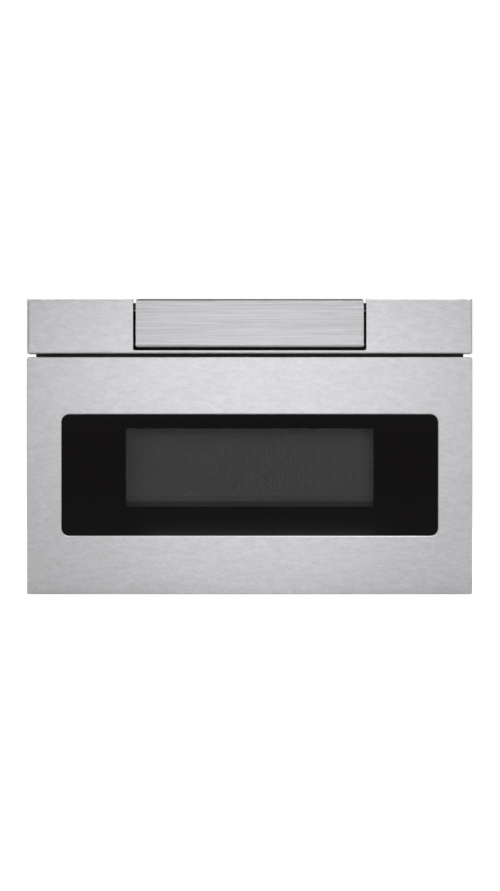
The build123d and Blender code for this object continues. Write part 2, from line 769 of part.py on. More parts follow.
# Outer cover: one folded sheet over top and sides, lipped at the rear, cut back above the recess.
with BuildPart() as outer_cover:
    with BuildSketch(front_plane(back_y)):
        with Locations((0, (base_rise + chassis_top) / 2)):
            Rectangle(2 * chassis_half, chassis_top - base_rise)
        with Locations((0, (base_rise + cover_under_z) / 2)):
            Rectangle(2 * pan_half, cover_under_z - base_rise, mode=Mode.SUBTRACT)
    extrude(amount=back_y - cabinet_y)
    with BuildSketch(front_plane(panel_y - cover_sheet)):
        with Locations((0, (base_top + pan_flange_height + cover_under_z) / 2)):
            Rectangle(2 * pan_half, cover_under_z - base_top - pan_flange_height)
        with Locations((0, (base_rise + cover_under_z - rear_lip) / 2)):
            Rectangle(2 * (pan_half - rear_lip), cover_under_z - rear_lip - base_rise, mode=Mode.SUBTRACT)
    extrude(amount=cover_sheet)
    with BuildSketch(Plane.XY.offset(cover_under_z - 1)):
        with Locations((0, (cabinet_y + cover_notch_rear_y) / 2)):
            Rectangle(2 * (recess_outer_half + cover_notch_gap), cover_notch_rear_y - cabinet_y)
    extrude(amount=cover_sheet + 2, mode=Mode.SUBTRACT)
    with BuildSketch(Plane.YZ.offset(-chassis_half - 1)):
        with Locations((back_y - side_vent_inset, chassis_top - side_vent_inset)):
            with GridLocations(1, vent_pitch, 1, vent_rows):
                Rectangle(vent_length, vent_width)
    extrude(amount=2 * chassis_half + 2, mode=Mode.SUBTRACT)

# Base pan with side flanges, a rear lip and cooling slots.
with BuildPart() as base_pan:
    with BuildSketch(front_plane(back_y)):
        with Locations((0, base_rise + (base_sheet + pan_flange_height) / 2)):
            Rectangle(2 * pan_half, base_sheet + pan_flange_height)
        with Locations((0, base_top + pan_flange_height / 2)):
            Rectangle(2 * bracket_outer_x, pan_flange_height, mode=Mode.SUBTRACT)
    extrude(amount=back_y - cabinet_y)
    with BuildSketch(front_plane(panel_y - cover_sheet)):
        with Locations((0, base_top + rear_lip / 2)):
            Rectangle(2 * bracket_outer_x, rear_lip)
    extrude(amount=cover_sheet)
    with BuildSketch(Plane.XY.offset(base_rise)):
        with Locations((0, back_y - pan_vent_inset)):
            with GridLocations(pan_vent_pitch, 1, pan_vent_count, 1):
                Rectangle(vent_width, vent_length)
    extrude(amount=base_sheet, mode=Mode.SUBTRACT)

# Fan position, shared by the back panel's grille, the fan, its motor and the duct.
fan_size = 106.0
fan_depth = 28.0
fan_x = 150.0
fan_drop = 2.0
fan_rim = 5.0
fan_z = cover_under_z - rear_lip - fan_drop - fan_size / 2
fan_ring_radius = fan_size / 2 - fan_rim
grille_width = fan_size - 22.0
grille_rows = 8
exhaust_gap = 10.0
gland_inset = 54.0
gland_x = gland_inset - pan_half
gland_z = base_top + 48.0
gland_radius = 8.0
gland_bore = 5.0
gland_flange = 3.0
gland_flange_sheet = 2.0
gland_barrel = 10.0
panel_screw_heights = (60.0, 180.0, 300.0)
panel_screw_places = [
    (side * (pan_half - rear_lip / 2), base_top + height)
    for side in (-1, 1)
    for height in panel_screw_heights
]

# Back panel on the lips, with the fan grille, exhaust slots, cord gland hole and screw holes.
with BuildPart() as back_panel:
    with BuildSketch(front_plane(panel_y)):
        with Locations((0, (base_top + cover_under_z) / 2)):
            Rectangle(2 * bracket_outer_x, cover_under_z - base_top)
        with Locations((fan_x, fan_z)):
            with GridLocations(1, vent_pitch, 1, grille_rows):
                Rectangle(grille_width, vent_width, mode=Mode.SUBTRACT)
        with Locations((-fan_x, fan_z)):
            with GridLocations(vent_length + exhaust_gap, vent_pitch, 2, vent_rows):
                Rectangle(vent_length, vent_width, mode=Mode.SUBTRACT)
        with Locations((gland_x, gland_z)):
            Circle(gland_radius, mode=Mode.SUBTRACT)
        with Locations(panel_screw_places):
            Circle(screw_hole_radius, mode=Mode.SUBTRACT)
    extrude(amount=cover_sheet)

# Hexagon-head screws that hold the back panel to the cover's lips.
with BuildPart() as chassis_screws:
    with BuildSketch(front_plane(panel_y + screw_head_height)):
        with Locations(panel_screw_places):
            RegularPolygon(screw_head_radius, 6)
    extrude(amount=screw_head_height)
    with BuildSketch(front_plane(panel_y)):
        with Locations(panel_screw_places):
            Circle(screw_radius)
    extrude(amount=cover_sheet)

# Cord gland: a flanged bush snapped into the back panel.
with BuildPart() as cord_gland:
    with BuildSketch(front_plane(panel_y + gland_flange_sheet)):
        with Locations((gland_x, gland_z)):
            Circle(gland_radius + gland_flange)
    extrude(amount=gland_flange_sheet)
    with BuildSketch(front_plane(panel_y)):
        with Locations((gland_x, gland_z)):
            Circle(gland_radius)
    extrude(amount=gland_barrel)
    with BuildSketch(front_plane(panel_y + gland_flange_sheet)):
        with Locations((gland_x, gland_z)):
            Circle(gland_bore)
    extrude(amount=gland_flange_sheet + gland_barrel, mode=Mode.SUBTRACT)

# Mounting frame: the flange on the cabinet face, with the oven mouth, the arms' slots, the hooks' holes,
# the opening for the control panel's recess and four screw holes.
flange_drop = 5.0
flange_top = front_top - flange_drop
slot_clearance = 1.5
slot_side_gap = 1.0
arm_slot_low = rack_pitch_z - rack_module - slot_clearance
arm_slot_high = slide_z + slide_height / 2 + slot_clearance
with BuildPart() as mounting_frame:
    with BuildSketch(front_plane(cabinet_y)):
        with Locations((0, (base_rise + flange_top) / 2)):
            Rectangle(2 * flange_half, flange_top - base_rise)
        with Locations((0, (oven_floor_z + ceiling_z) / 2)):
            Rectangle(2 * oven_half, ceiling_z - oven_floor_z, mode=Mode.SUBTRACT)
        for side in (-1, 1):
            with Locations(
                (side * (rack_inner_x + slide_outer_x) / 2, (arm_slot_low + arm_slot_high) / 2)
            ):
                Rectangle(
                    slide_outer_x - rack_inner_x + 2 * slot_side_gap,
                    arm_slot_high - arm_slot_low,
                    mode=Mode.SUBTRACT,
                )
            with Locations((side * hook_x, hook_z)):
                Rectangle(
                    hook_width + 2 * hook_clearance, hook_height + 2 * hook_clearance, mode=Mode.SUBTRACT
                )
            with Locations(
                [
                    (side * (flange_half - mount_hole_inset), base_rise + height)
                    for height in (mount_hole_low, mount_hole_high)
                ]
            ):
                Circle(mount_hole_radius, mode=Mode.SUBTRACT)
        roof_z = pivot_z + sqrt(recess_outer_radius**2 - (flange_front_y - pivot_y) ** 2)
        with Locations((0, (recess_floor_z + roof_z + seat_gap) / 2)):
            Rectangle(
                2 * (recess_outer_half + seat_gap), roof_z + seat_gap - recess_floor_z, mode=Mode.SUBTRACT
            )
    extrude(amount=flange_sheet)

# Fascia: the stainless top strip, a bent pan with a U-shaped notch and a hemmed notch edge.
fascia_bend = 3.0
fascia_corner = 2.0
notch_corner = 3.4
hem_depth = 7.0
with BuildPart() as fascia:
    with BuildSketch(front_plane(flange_front_y)) as outline:
        with Locations((0, (fascia_bottom + front_top) / 2)):
            Rectangle(2 * front_half, fascia_height)
        fillet(outline.vertices().group_by(Axis.Z)[0], fascia_corner)
    extrude(amount=flange_front_depth)
    fillet(fascia.faces().sort_by(Axis.Y)[0].edges().sort_by(Axis.Z)[-1], fascia_bend)
    offset(amount=-front_sheet, openings=fascia.faces().sort_by(Axis.Y)[-1])
    with BuildSketch(front_plane(flange_front_y)) as notch:
        with Locations((0, (notch_floor_z + front_top + 10) / 2)):
            Rectangle(notch_width, front_top + 10 - notch_floor_z)
        fillet(notch.vertices().group_by(Axis.Z)[0], notch_corner)
    extrude(amount=flange_front_depth, mode=Mode.SUBTRACT)
    with BuildSketch(Plane.XY.offset(notch_floor_z - front_sheet)):
        with Locations((0, face_y + hem_depth / 2 + front_sheet / 2)):
            Rectangle(notch_width - 2 * notch_corner, hem_depth - front_sheet)
    extrude(amount=front_sheet)

# =====================================================================================================
# Oven and microwave parts
# =====================================================================================================

antenna_y = (cabinet_y + oven_rear_y) / 2
well_radius = 76.0
feed_radius = 18.0
oven_outer_rear_y = oven_rear_y + oven_sheet

# Oven shell: floor, sides and back in one, open to the front and the top.
lamp_behind = 60.0
lamp_drop = 40.0
lamp_y = antenna_y + lamp_behind
lamp_z = ceiling_z - lamp_drop
lamp_radius = 12.0
with BuildPart() as oven_shell:
    with BuildSketch(Plane.XY.offset(oven_floor_z - oven_sheet)):
        with Locations((0, (cabinet_y + oven_outer_rear_y) / 2)):
            Rectangle(2 * oven_outer_half, oven_outer_rear_y - cabinet_y)
    extrude(amount=ceiling_z - oven_floor_z + oven_sheet)
    offset(
        amount=-oven_sheet,
        openings=[oven_shell.faces().sort_by(Axis.Z)[-1], oven_shell.faces().sort_by(Axis.Y)[0]],
    )
    with BuildSketch(Plane.YZ.offset(-oven_outer_half - 1)):
        with Locations((lamp_y, lamp_z)):
            Circle(lamp_radius)
    extrude(amount=oven_sheet + 2, mode=Mode.SUBTRACT)

# Oven ceiling with a drawn well for the rotating antenna.
with BuildPart() as oven_ceiling:
    with BuildSketch(Plane.XY.offset(ceiling_z)):
        with Locations((0, (cabinet_y + oven_outer_rear_y) / 2)):
            Rectangle(2 * oven_outer_half, oven_outer_rear_y - cabinet_y)
    extrude(amount=oven_sheet)
    with BuildSketch(Plane.XY.offset(ceiling_z)):
        with Locations((0, antenna_y)):
            Circle(well_radius + oven_sheet)
    extrude(amount=well_top_z - ceiling_z)
    with BuildSketch(Plane.XY.offset(ceiling_z)):
        with Locations((0, antenna_y)):
            Circle(well_radius)
    extrude(amount=well_top_z - oven_sheet - ceiling_z, mode=Mode.SUBTRACT)
    with BuildSketch(Plane.XY.offset(ceiling_z)):
        with Locations((0, antenna_y)):
            Circle(feed_radius)
    extrude(amount=well_top_z - ceiling_z, mode=Mode.SUBTRACT)

# Microwave-clear cover under the antenna well.
antenna_cover_sheet = 1.2
antenna_cover_half = well_radius + 12.0
antenna_cover_corner = 10.0
with BuildPart() as antenna_cover:
    with BuildSketch(Plane.XY.offset(ceiling_z - antenna_cover_sheet)):
        with Locations((0, antenna_y)):
            RectangleRounded(2 * antenna_cover_half, 2 * antenna_cover_half, antenna_cover_corner)
    extrude(amount=antenna_cover_sheet)

# Rotating antenna: a slotted disc on a shaft that runs up through the waveguide into its motor.
antenna_rise = 5.0
antenna_z = ceiling_z + antenna_rise
antenna_radius = 62.0
antenna_sheet = 1.5
antenna_slots = 3
antenna_slot_place = antenna_radius * 0.6
antenna_slot_length = antenna_radius * 0.62
antenna_slot_width = 14.0
antenna_shaft_radius = 3.0
antenna_shaft_reach = 8.0
with BuildPart() as rotating_antenna:
    with BuildSketch(Plane.XY.offset(antenna_z)):
        with Locations((0, antenna_y)):
            Circle(antenna_radius)
            with PolarLocations(antenna_slot_place, antenna_slots):
                SlotOverall(antenna_slot_length, antenna_slot_width, rotation=90, mode=Mode.SUBTRACT)
    extrude(amount=antenna_sheet)
    with BuildSketch(Plane.XY.offset(antenna_z)):
        with Locations((0, antenna_y)):
            Circle(antenna_shaft_radius)
    extrude(amount=waveguide_top_z + antenna_shaft_reach - antenna_z)

# Antenna motor on top of the waveguide.
antenna_motor_radius = 24.0
antenna_motor_height = 16.0
antenna_motor_span = 66.0
antenna_motor_ear = 12.0
antenna_motor_sheet = 2.0
with BuildPart() as antenna_motor:
    with BuildSketch(Plane.XY.offset(waveguide_top_z)):
        with Locations((0, antenna_y)):
            Circle(antenna_motor_radius)
            SlotOverall(antenna_motor_span, antenna_motor_ear)
    extrude(amount=antenna_motor_sheet)
    with BuildSketch(Plane.XY.offset(waveguide_top_z)):
        with Locations((0, antenna_y)):
            Circle(antenna_motor_radius)
    extrude(amount=antenna_motor_height)
    with BuildSketch(Plane.XY.offset(waveguide_top_z)):
        with Locations((0, antenna_y)):
            Circle(antenna_shaft_radius + running_clearance)
    extrude(amount=antenna_shaft_reach + 1, mode=Mode.SUBTRACT)

# Waveguide: a rectangular duct on the well, with feed, shaft and magnetron holes.
waveguide_width = 80.0
waveguide_end = 45.0
magnetron_x = 150.0
antenna_hole_radius = 17.0
with BuildPart() as waveguide:
    with BuildSketch(Plane.XY.offset(well_top_z)):
        with Locations((magnetron_x / 2, antenna_y)):
            Rectangle(magnetron_x + 2 * waveguide_end, waveguide_width)
    extrude(amount=waveguide_height)
    with BuildSketch(Plane.XY.offset(well_top_z + oven_sheet)):
        with Locations((magnetron_x / 2, antenna_y)):
            Rectangle(magnetron_x + 2 * waveguide_end - 2 * oven_sheet, waveguide_width - 2 * oven_sheet)
    extrude(amount=waveguide_height - 2 * oven_sheet, mode=Mode.SUBTRACT)
    with BuildSketch(Plane.XY.offset(well_top_z)):
        with Locations((0, antenna_y)):
            Circle(feed_radius)
    extrude(amount=oven_sheet, mode=Mode.SUBTRACT)
    with BuildSketch(Plane.XY.offset(waveguide_top_z - oven_sheet)):
        with Locations((0, antenna_y)):
            Circle(antenna_shaft_radius + 2)
        with Locations((magnetron_x, antenna_y)):
            Circle(antenna_hole_radius)
    extrude(amount=oven_sheet, mode=Mode.SUBTRACT)

# Magnetron: base plate, yoke, cooling fins round the anode, filter box, and its antenna in the waveguide.
yoke_width = 84.0
yoke_depth = 66.0
yoke_height = 50.0
yoke_sheet = 1.6
yoke_lap = 3.0
anode_radius = 20.0
fin_pitch = 5.0
fin_count = 7
fin_sheet = 1.0
fin_start = 10.0
filter_box_width = 62.0
filter_box_depth = 50.0
stub_radius = 7.5
stub_length = 25.0
with BuildPart() as magnetron:
    with BuildSketch(Plane.XY.offset(waveguide_top_z)):
        with Locations((magnetron_x, antenna_y)):
            Rectangle(yoke_width + 2 * yoke_lap, yoke_depth)
    extrude(amount=yoke_sheet)
    with BuildSketch(front_plane(antenna_y + yoke_depth / 2)):
        with Locations((magnetron_x, waveguide_top_z + yoke_sheet + yoke_height / 2)):
            Rectangle(yoke_width, yoke_height)
            Rectangle(yoke_width - 2 * yoke_sheet, yoke_height - 2 * yoke_sheet, mode=Mode.SUBTRACT)
    extrude(amount=yoke_depth)
    with BuildSketch(Plane.XY.offset(waveguide_top_z + yoke_sheet)):
        with Locations((magnetron_x, antenna_y)):
            Circle(anode_radius)
    extrude(amount=yoke_height)
    for fin in range(fin_count):
        with BuildSketch(Plane.XY.offset(waveguide_top_z + yoke_sheet + fin_start + fin * fin_pitch)):
            with Locations((magnetron_x, antenna_y)):
                Rectangle(yoke_width - 2 * yoke_sheet, yoke_depth - 2 * yoke_lap)
        extrude(amount=fin_sheet)
    with BuildSketch(Plane.XY.offset(waveguide_top_z + yoke_sheet + yoke_height)):
        with Locations((magnetron_x, antenna_y)):
            RectangleRounded(filter_box_width, filter_box_depth, 3)
    extrude(amount=magnetron_height - yoke_sheet - yoke_height)
    with BuildSketch(Plane.XY.offset(waveguide_top_z - stub_length)):
        with Locations((magnetron_x, antenna_y)):
            Circle(stub_radius)
    extrude(amount=stub_length)
    chamfer(magnetron.faces().sort_by(Axis.Z)[0].edges(), stub_radius * 0.4)

# Air duct that narrows from the fan to the magnetron's fins.
duct_wall = 1.5
duct_front_y = antenna_y + yoke_depth / 2
fan_front_y = panel_y - cover_sheet - fan_depth
duct_front_z = waveguide_top_z + yoke_sheet + yoke_height / 2
with BuildPart() as air_duct:
    with BuildSketch(front_plane(fan_front_y)):
        with Locations((fan_x, fan_z)):
            Rectangle(fan_size, fan_size)
    with BuildSketch(front_plane(duct_front_y)):
        with Locations((magnetron_x, duct_front_z)):
            Rectangle(yoke_width, yoke_height)
    loft(ruled=True)
    with BuildSketch(front_plane(fan_front_y)):
        with Locations((fan_x, fan_z)):
            Rectangle(fan_size - 2 * duct_wall, fan_size - 2 * duct_wall)
    with BuildSketch(front_plane(duct_front_y)):
        with Locations((magnetron_x, duct_front_z)):
            Rectangle(yoke_width - 2 * duct_wall, yoke_height - 2 * duct_wall)
    loft(ruled=True, mode=Mode.SUBTRACT)

# Fan housing: a square frame with a round throat and a spoked motor plate, against the back panel.
spoke_width = 7.0
spoke_sheet = 2.0
motor_radius = 20.0
motor_length = 30.0
fan_shaft_radius = 2.5
fan_shaft_reach = 12.0
with BuildPart() as fan_housing:
    with BuildSketch(front_plane(panel_y - cover_sheet)):
        with Locations((fan_x, fan_z)):
            RectangleRounded(fan_size, fan_size, 4)
            Circle(fan_ring_radius, mode=Mode.SUBTRACT)
    extrude(amount=fan_depth)
    with BuildSketch(front_plane(fan_front_y + spoke_sheet)):
        with Locations((fan_x, fan_z)):
            Circle(motor_radius)
            Rectangle(2 * fan_ring_radius + 2, spoke_width)
            Rectangle(spoke_width, 2 * fan_ring_radius + 2)
            Circle(fan_shaft_radius + 2, mode=Mode.SUBTRACT)
    extrude(amount=spoke_sheet)

with BuildPart() as fan_motor:
    with BuildSketch(front_plane(fan_front_y)):
        with Locations((fan_x, fan_z)):
            Circle(motor_radius)
    extrude(amount=motor_length)
    chamfer(fan_motor.faces().sort_by(Axis.Y)[0].edges(), 3)
    with BuildSketch(front_plane(fan_front_y)):
        with Locations((fan_x, fan_z)):
            Circle(fan_shaft_radius + running_clearance)
    extrude(amount=fan_shaft_reach + 2, mode=Mode.SUBTRACT)

# Fan blade: hub, five twisted blades, and the motor's shaft that is pressed into it.
blade_count = 5
hub_radius = 15.0
blade_gap = 2.0
blade_rear_gap = 5.0
blade_rear_y = panel_y - cover_sheet - blade_rear_gap
blade_depth = 15.0
blade_root_angle = 48.0
blade_tip_angle = 28.0
blade_root_chord = 15.6
blade_tip_chord = 20.8
blade_thickness = 1.6
with BuildPart() as fan_blade:
    with BuildSketch(front_plane(blade_rear_y)):
        with Locations((fan_x, fan_z)):
            Circle(hub_radius)
    extrude(amount=blade_depth)
    with BuildSketch(front_plane(blade_rear_y)):
        with Locations((fan_x, fan_z)):
            Circle(fan_shaft_radius)
    extrude(amount=blade_rear_y - fan_front_y + fan_shaft_reach)
with BuildPart() as one_blade:
    for radius, angle, chord in (
        (hub_radius - 3, blade_root_angle, blade_root_chord),
        (fan_ring_radius - blade_gap, blade_tip_angle, blade_tip_chord),
    ):
        with BuildSketch(
            Plane(
                origin=(fan_x + radius, blade_rear_y - blade_depth / 2, fan_z),
                x_dir=(0, sin(radians(angle)), cos(radians(angle))),
                z_dir=(1, 0, 0),
            )
        ):
            Rectangle(chord, blade_thickness)
    loft(ruled=True)
with fan_blade:
    for turn in range(blade_count):
        spun = one_blade.part.rotate(Axis((fan_x, 0, fan_z), (0, 1, 0)), turn * 360 / blade_count)
        add(spun)

# Oven lamp on the left wall: a holder with a round window.
lamp_plate_length = 40.0
lamp_plate_height = 32.0
lamp_plate_sheet = 2.0
lamp_window_gap = 0.5
lamp_cup_radius = 13.0
lamp_cup_length = 28.0
with BuildPart() as oven_lamp:
    with BuildSketch(Plane.YZ.offset(-oven_outer_half)):
        with Locations((lamp_y, lamp_z)):
            RectangleRounded(lamp_plate_length, lamp_plate_height, 4)
    extrude(amount=-lamp_plate_sheet)
    with BuildSketch(Plane.YZ.offset(-oven_outer_half)):
        with Locations((lamp_y, lamp_z)):
            Circle(lamp_radius - lamp_window_gap)
    extrude(amount=oven_sheet)
    with BuildSketch(Plane.YZ.offset(-oven_outer_half)):
        with Locations((lamp_y, lamp_z)):
            Circle(lamp_cup_radius)
    extrude(amount=-lamp_cup_length)
    chamfer(oven_lamp.faces().sort_by(Axis.X)[0].edges(), 3)

# Transformer on the base pan: laminated core with two windows, windings round the middle leg.
transformer_x = -150.0
transformer_gap = 66.0
transformer_y = oven_outer_rear_y + transformer_gap
core_width = 102.0
core_height = 84.0
core_depth = 60.0
leg_width = 34.0
core_window_width = 17.0
core_window_height = 50.0
core_foot = 12.0
core_foot_sheet = 2.0
with BuildPart() as transformer_core:
    with BuildSketch(front_plane(transformer_y + core_depth / 2)):
        with Locations((transformer_x, base_top + core_height / 2)):
            Rectangle(core_width, core_height)
            with GridLocations(leg_width + core_window_width, 1, 2, 1):
                Rectangle(core_window_width, core_window_height, mode=Mode.SUBTRACT)
    extrude(amount=core_depth)
    with BuildSketch(Plane.XY.offset(base_top)):
        with Locations((transformer_x, transformer_y)):
            Rectangle(core_width + 2 * core_foot, core_depth)
    extrude(amount=core_foot_sheet)

with BuildPart() as transformer_windings:
    with BuildSketch(Plane.XY.offset(base_top + (core_height - core_window_height) / 2 + seat_gap)):
        with Locations((transformer_x, transformer_y)):
            RectangleRounded(
                leg_width + 2 * core_window_width - 2 * seat_gap, core_depth + 2 * core_window_width, 12
            )
            Rectangle(leg_width + 2 * seat_gap, core_depth + 2 * seat_gap, mode=Mode.SUBTRACT)
    extrude(amount=core_window_height - 2 * seat_gap)

# High-voltage capacitor: an oval can with two terminals.
capacitor_x = -30.0
capacitor_width = 54.0
capacitor_depth = 34.0
capacitor_height = 92.0
terminal_pitch = 24.0
terminal_width = 6.0
terminal_sheet = 1.0
terminal_height = 9.0
with BuildPart() as hv_capacitor:
    with BuildSketch(Plane.XY.offset(base_top)):
        with Locations((capacitor_x, transformer_y)):
            SlotOverall(capacitor_width, capacitor_depth)
    extrude(amount=capacitor_height)
    chamfer(hv_capacitor.faces().sort_by(Axis.Z)[-1].edges(), 2)
    with BuildSketch(Plane.XY.offset(base_top + capacitor_height)):
        with Locations((capacitor_x, transformer_y)):
            with GridLocations(terminal_pitch, 1, 2, 1):
                Rectangle(terminal_width, terminal_sheet)
    extrude(amount=terminal_height)


def board(middle_x, middle_y, width, depth, blocks):
    """A circuit board on four posts over the oven ceiling; blocks are (dx, dy, width, depth, height)."""
    with BuildPart() as made:
        with BuildSketch(Plane.XY.offset(ceiling_z + oven_sheet)):
            with Locations((middle_x, middle_y)):
                with GridLocations(width - 2 * post_width, depth - 2 * post_width, 2, 2):
                    Rectangle(post_width, post_width)
        extrude(amount=board_post)
        with BuildSketch(Plane.XY.offset(ceiling_z + oven_sheet + board_post)):
            with Locations((middle_x, middle_y)):
                Rectangle(width, depth)
        extrude(amount=board_sheet)
        for across, along, block_width, block_depth, height in blocks:
            with BuildSketch(Plane.XY.offset(ceiling_z + oven_sheet + board_post + board_sheet)):
                with Locations((middle_x + across, middle_y + along)):
                    Rectangle(block_width, block_depth)
            extrude(amount=height)
    return made


board_post = 10.0
post_width = 6.0
board_x = -165.0
power_board_width = 110.0
power_board_depth = 140.0
power_board_ahead = 70.0
filter_board_width = 90.0
filter_board_depth = 70.0
filter_board_behind = 90.0
power_blocks = [
    (-30, -45, 34, 28, 30),
    (20, -50, 20, 16, 16),
    (20, -25, 20, 16, 16),
    (-35, 0, 22, 22, 25),
    (10, 40, 50, 12, 12),
]
filter_blocks = [
    (-20, 10, 26, 26, 24),
    (20, 12, 28, 14, 20),
    (10, -20, 30, 8, 8),
]
power_board = board(
    board_x, antenna_y - power_board_ahead, power_board_width, power_board_depth, power_blocks
)
line_filter_board = board(
    board_x, antenna_y + filter_board_behind, filter_board_width, filter_board_depth, filter_blocks
)

# Interlock switches: a holder on the mounting frame each side, open towards its hook, with a bore.
holder_half_width = 9.0
holder_half_height = 12.0
holder_length = 44.0
pocket_spare = 4.0
hook_pocket = hook_reach + pocket_spare
plunger_radius = 2.0
plunger_length = 9.0
plunger_tip_y = hook_tip_y + seat_gap
with BuildPart() as interlock_switches:
    with BuildSketch(front_plane(cabinet_y + holder_length)):
        with Locations((hook_x, hook_z)):
            RectangleRounded(2 * holder_half_width, 2 * holder_half_height, 2)
    extrude(amount=holder_length)
    with BuildSketch(front_plane(cabinet_y + hook_pocket)):
        with Locations((hook_x, hook_z)):
            Rectangle(hook_width + 2 * hook_clearance, hook_height + 2 * hook_clearance)
    extrude(amount=hook_pocket, mode=Mode.SUBTRACT)
    with BuildSketch(front_plane(plunger_tip_y + plunger_length + 1)):
        with Locations((hook_x, hook_z)):
            Circle(plunger_radius + running_clearance)
    extrude(amount=plunger_length, mode=Mode.SUBTRACT)
    mirror(about=mirrored)

with BuildPart() as switch_plungers:
    with BuildSketch(front_plane(plunger_tip_y + plunger_length)):
        with Locations((hook_x, hook_z)):
            Circle(plunger_radius)
    extrude(amount=plunger_length)
    mirror(about=mirrored)

# =====================================================================================================
# Control panel: a wedge that turns about its rolled lower edge, and the recess that it turns in
# =====================================================================================================

lean = radians(panel_sweep)
rear_length = sqrt(panel_rear_radius**2 - roll_radius**2)
rear_corner = panel_point(rear_length, roll_radius, lean)
top_edge = (face_y, panel_top_z)
chord = sqrt((rear_corner[0] - top_edge[0]) ** 2 + (rear_corner[1] - top_edge[1]) ** 2)
chord_y = (rear_corner[0] - top_edge[0]) / chord
chord_z = (rear_corner[1] - top_edge[1]) / chord


def under_glass(depth, y):
    """The height, at y, of the line that lies depth under the glass's upper face."""
    return panel_top_z + (y - face_y) * chord_z / chord_y - depth / chord_y


def wall_under_glass(depth, off):
    """The point of the line off behind the pivot's own 45-degree line that lies depth under the glass."""
    start = panel_point(0, off, lean)
    slope = chord_z / chord_y
    along = (under_glass(depth, start[0]) - start[1]) / (cos(lean) - slope * sin(lean))
    return panel_point(along, off, lean)


roll_inner = roll_radius - skin_sheet
skin_y = face_y + skin_sheet
glass_heel = wall_under_glass(touch_glass, roll_radius)
panel_corner = 3.5
glass_lip = 1.2
face_bend_height = 1.2
face_bend_depth = 0.45

# The panel as seen from the front, with its rounded upper corners: it trims the glass and the face.
with BuildPart() as panel_silhouette:
    with BuildSketch(front_plane(rear_corner[0])) as outline:
        with Locations((0, (panel_bottom_z + panel_top_z) / 2)):
            Rectangle(2 * panel_half, panel_top_z - panel_bottom_z)
        fillet(outline.vertices().group_by(Axis.Z)[-1], panel_corner)
    extrude(amount=rear_corner[0] - face_y)

# Touch glass along the wedge's sloping top, with a thin lip over the upper edge of the face.
with BuildPart() as control_glass:
    with BuildSketch(Plane.YZ.offset(-panel_half)):
        with BuildLine():
            Polyline(
                top_edge,
                rear_corner,
                glass_heel,
                (skin_y, under_glass(touch_glass, skin_y)),
                (skin_y, under_glass(glass_lip, skin_y)),
                (face_y, under_glass(glass_lip, face_y)),
                close=True,
            )
        make_face()
    extrude(amount=2 * panel_half)
    add(panel_silhouette.part, mode=Mode.INTERSECT)

# Stainless face: bent back a little under the glass, down the front and round the rolled lower edge.
face_bend_y = face_y + face_bend_depth
face_top_z = under_glass(glass_lip, face_y) - face_bend_height
with BuildPart() as control_face:
    with BuildSketch(Plane.YZ.offset(-panel_half)):
        with BuildLine():
            Line((face_y, face_top_z), (face_y, pivot_z))
            CenterArc((pivot_y, pivot_z), roll_radius, 180, 90 + panel_sweep)
            Line(
                (pivot_y + roll_radius * cos(lean), pivot_z - roll_radius * sin(lean)),
                (pivot_y + roll_inner * cos(lean), pivot_z - roll_inner * sin(lean)),
            )
            CenterArc((pivot_y, pivot_z), roll_inner, 270 + panel_sweep, -90 - panel_sweep)
            Line((skin_y, pivot_z), (skin_y, under_glass(glass_lip, skin_y)))
            Line((skin_y, under_glass(glass_lip, skin_y)), (face_bend_y, under_glass(glass_lip, face_bend_y)))
            Line((face_bend_y, under_glass(glass_lip, face_bend_y)), (face_y, face_top_z))
        make_face()
    extrude(amount=2 * panel_half)
    add(panel_silhouette.part, mode=Mode.INTERSECT)

# Moulded housing behind the face: end walls, front and rear walls and pin bosses, open under the glass.
pocket_floor = 10.0
end_wall = 3.0
wall_front_y = skin_y + housing_wall
pocket_rear_low = panel_point(pocket_floor, roll_radius - housing_wall, lean)
pin_grip = 12.0
with BuildPart() as control_housing:
    with BuildSketch(Plane.YZ.offset(-panel_half)):
        with BuildLine():
            Line((skin_y, under_glass(touch_glass, skin_y)), (skin_y, pivot_z))
            CenterArc((pivot_y, pivot_z), roll_inner, 180, 90 + panel_sweep)
            Polyline(
                (pivot_y + roll_inner * cos(lean), pivot_z - roll_inner * sin(lean)),
                panel_point(0.5, roll_inner, lean),
                panel_point(0.5, roll_radius, lean),
                glass_heel,
                (skin_y, under_glass(touch_glass, skin_y)),
            )
        make_face()
    extrude(amount=2 * panel_half)
    with BuildSketch(Plane.YZ.offset(-panel_half + end_wall)):
        with BuildLine():
            Polyline(
                (wall_front_y, under_glass(0, wall_front_y)),
                (wall_front_y, pocket_rear_low[1]),
                pocket_rear_low,
                wall_under_glass(0, roll_radius - housing_wall),
                close=True,
            )
        make_face()
    extrude(amount=2 * (panel_half - end_wall), mode=Mode.SUBTRACT)
    with BuildSketch(Plane.YZ.offset(-panel_half)):
        with Locations((pivot_y, pivot_z)):
            Circle(pin_radius)
    extrude(amount=pin_grip, mode=Mode.SUBTRACT)
    with BuildSketch(Plane.YZ.offset(panel_half - pin_grip)):
        with Locations((pivot_y, pivot_z)):
            Circle(pin_radius)
    extrude(amount=pin_grip, mode=Mode.SUBTRACT)

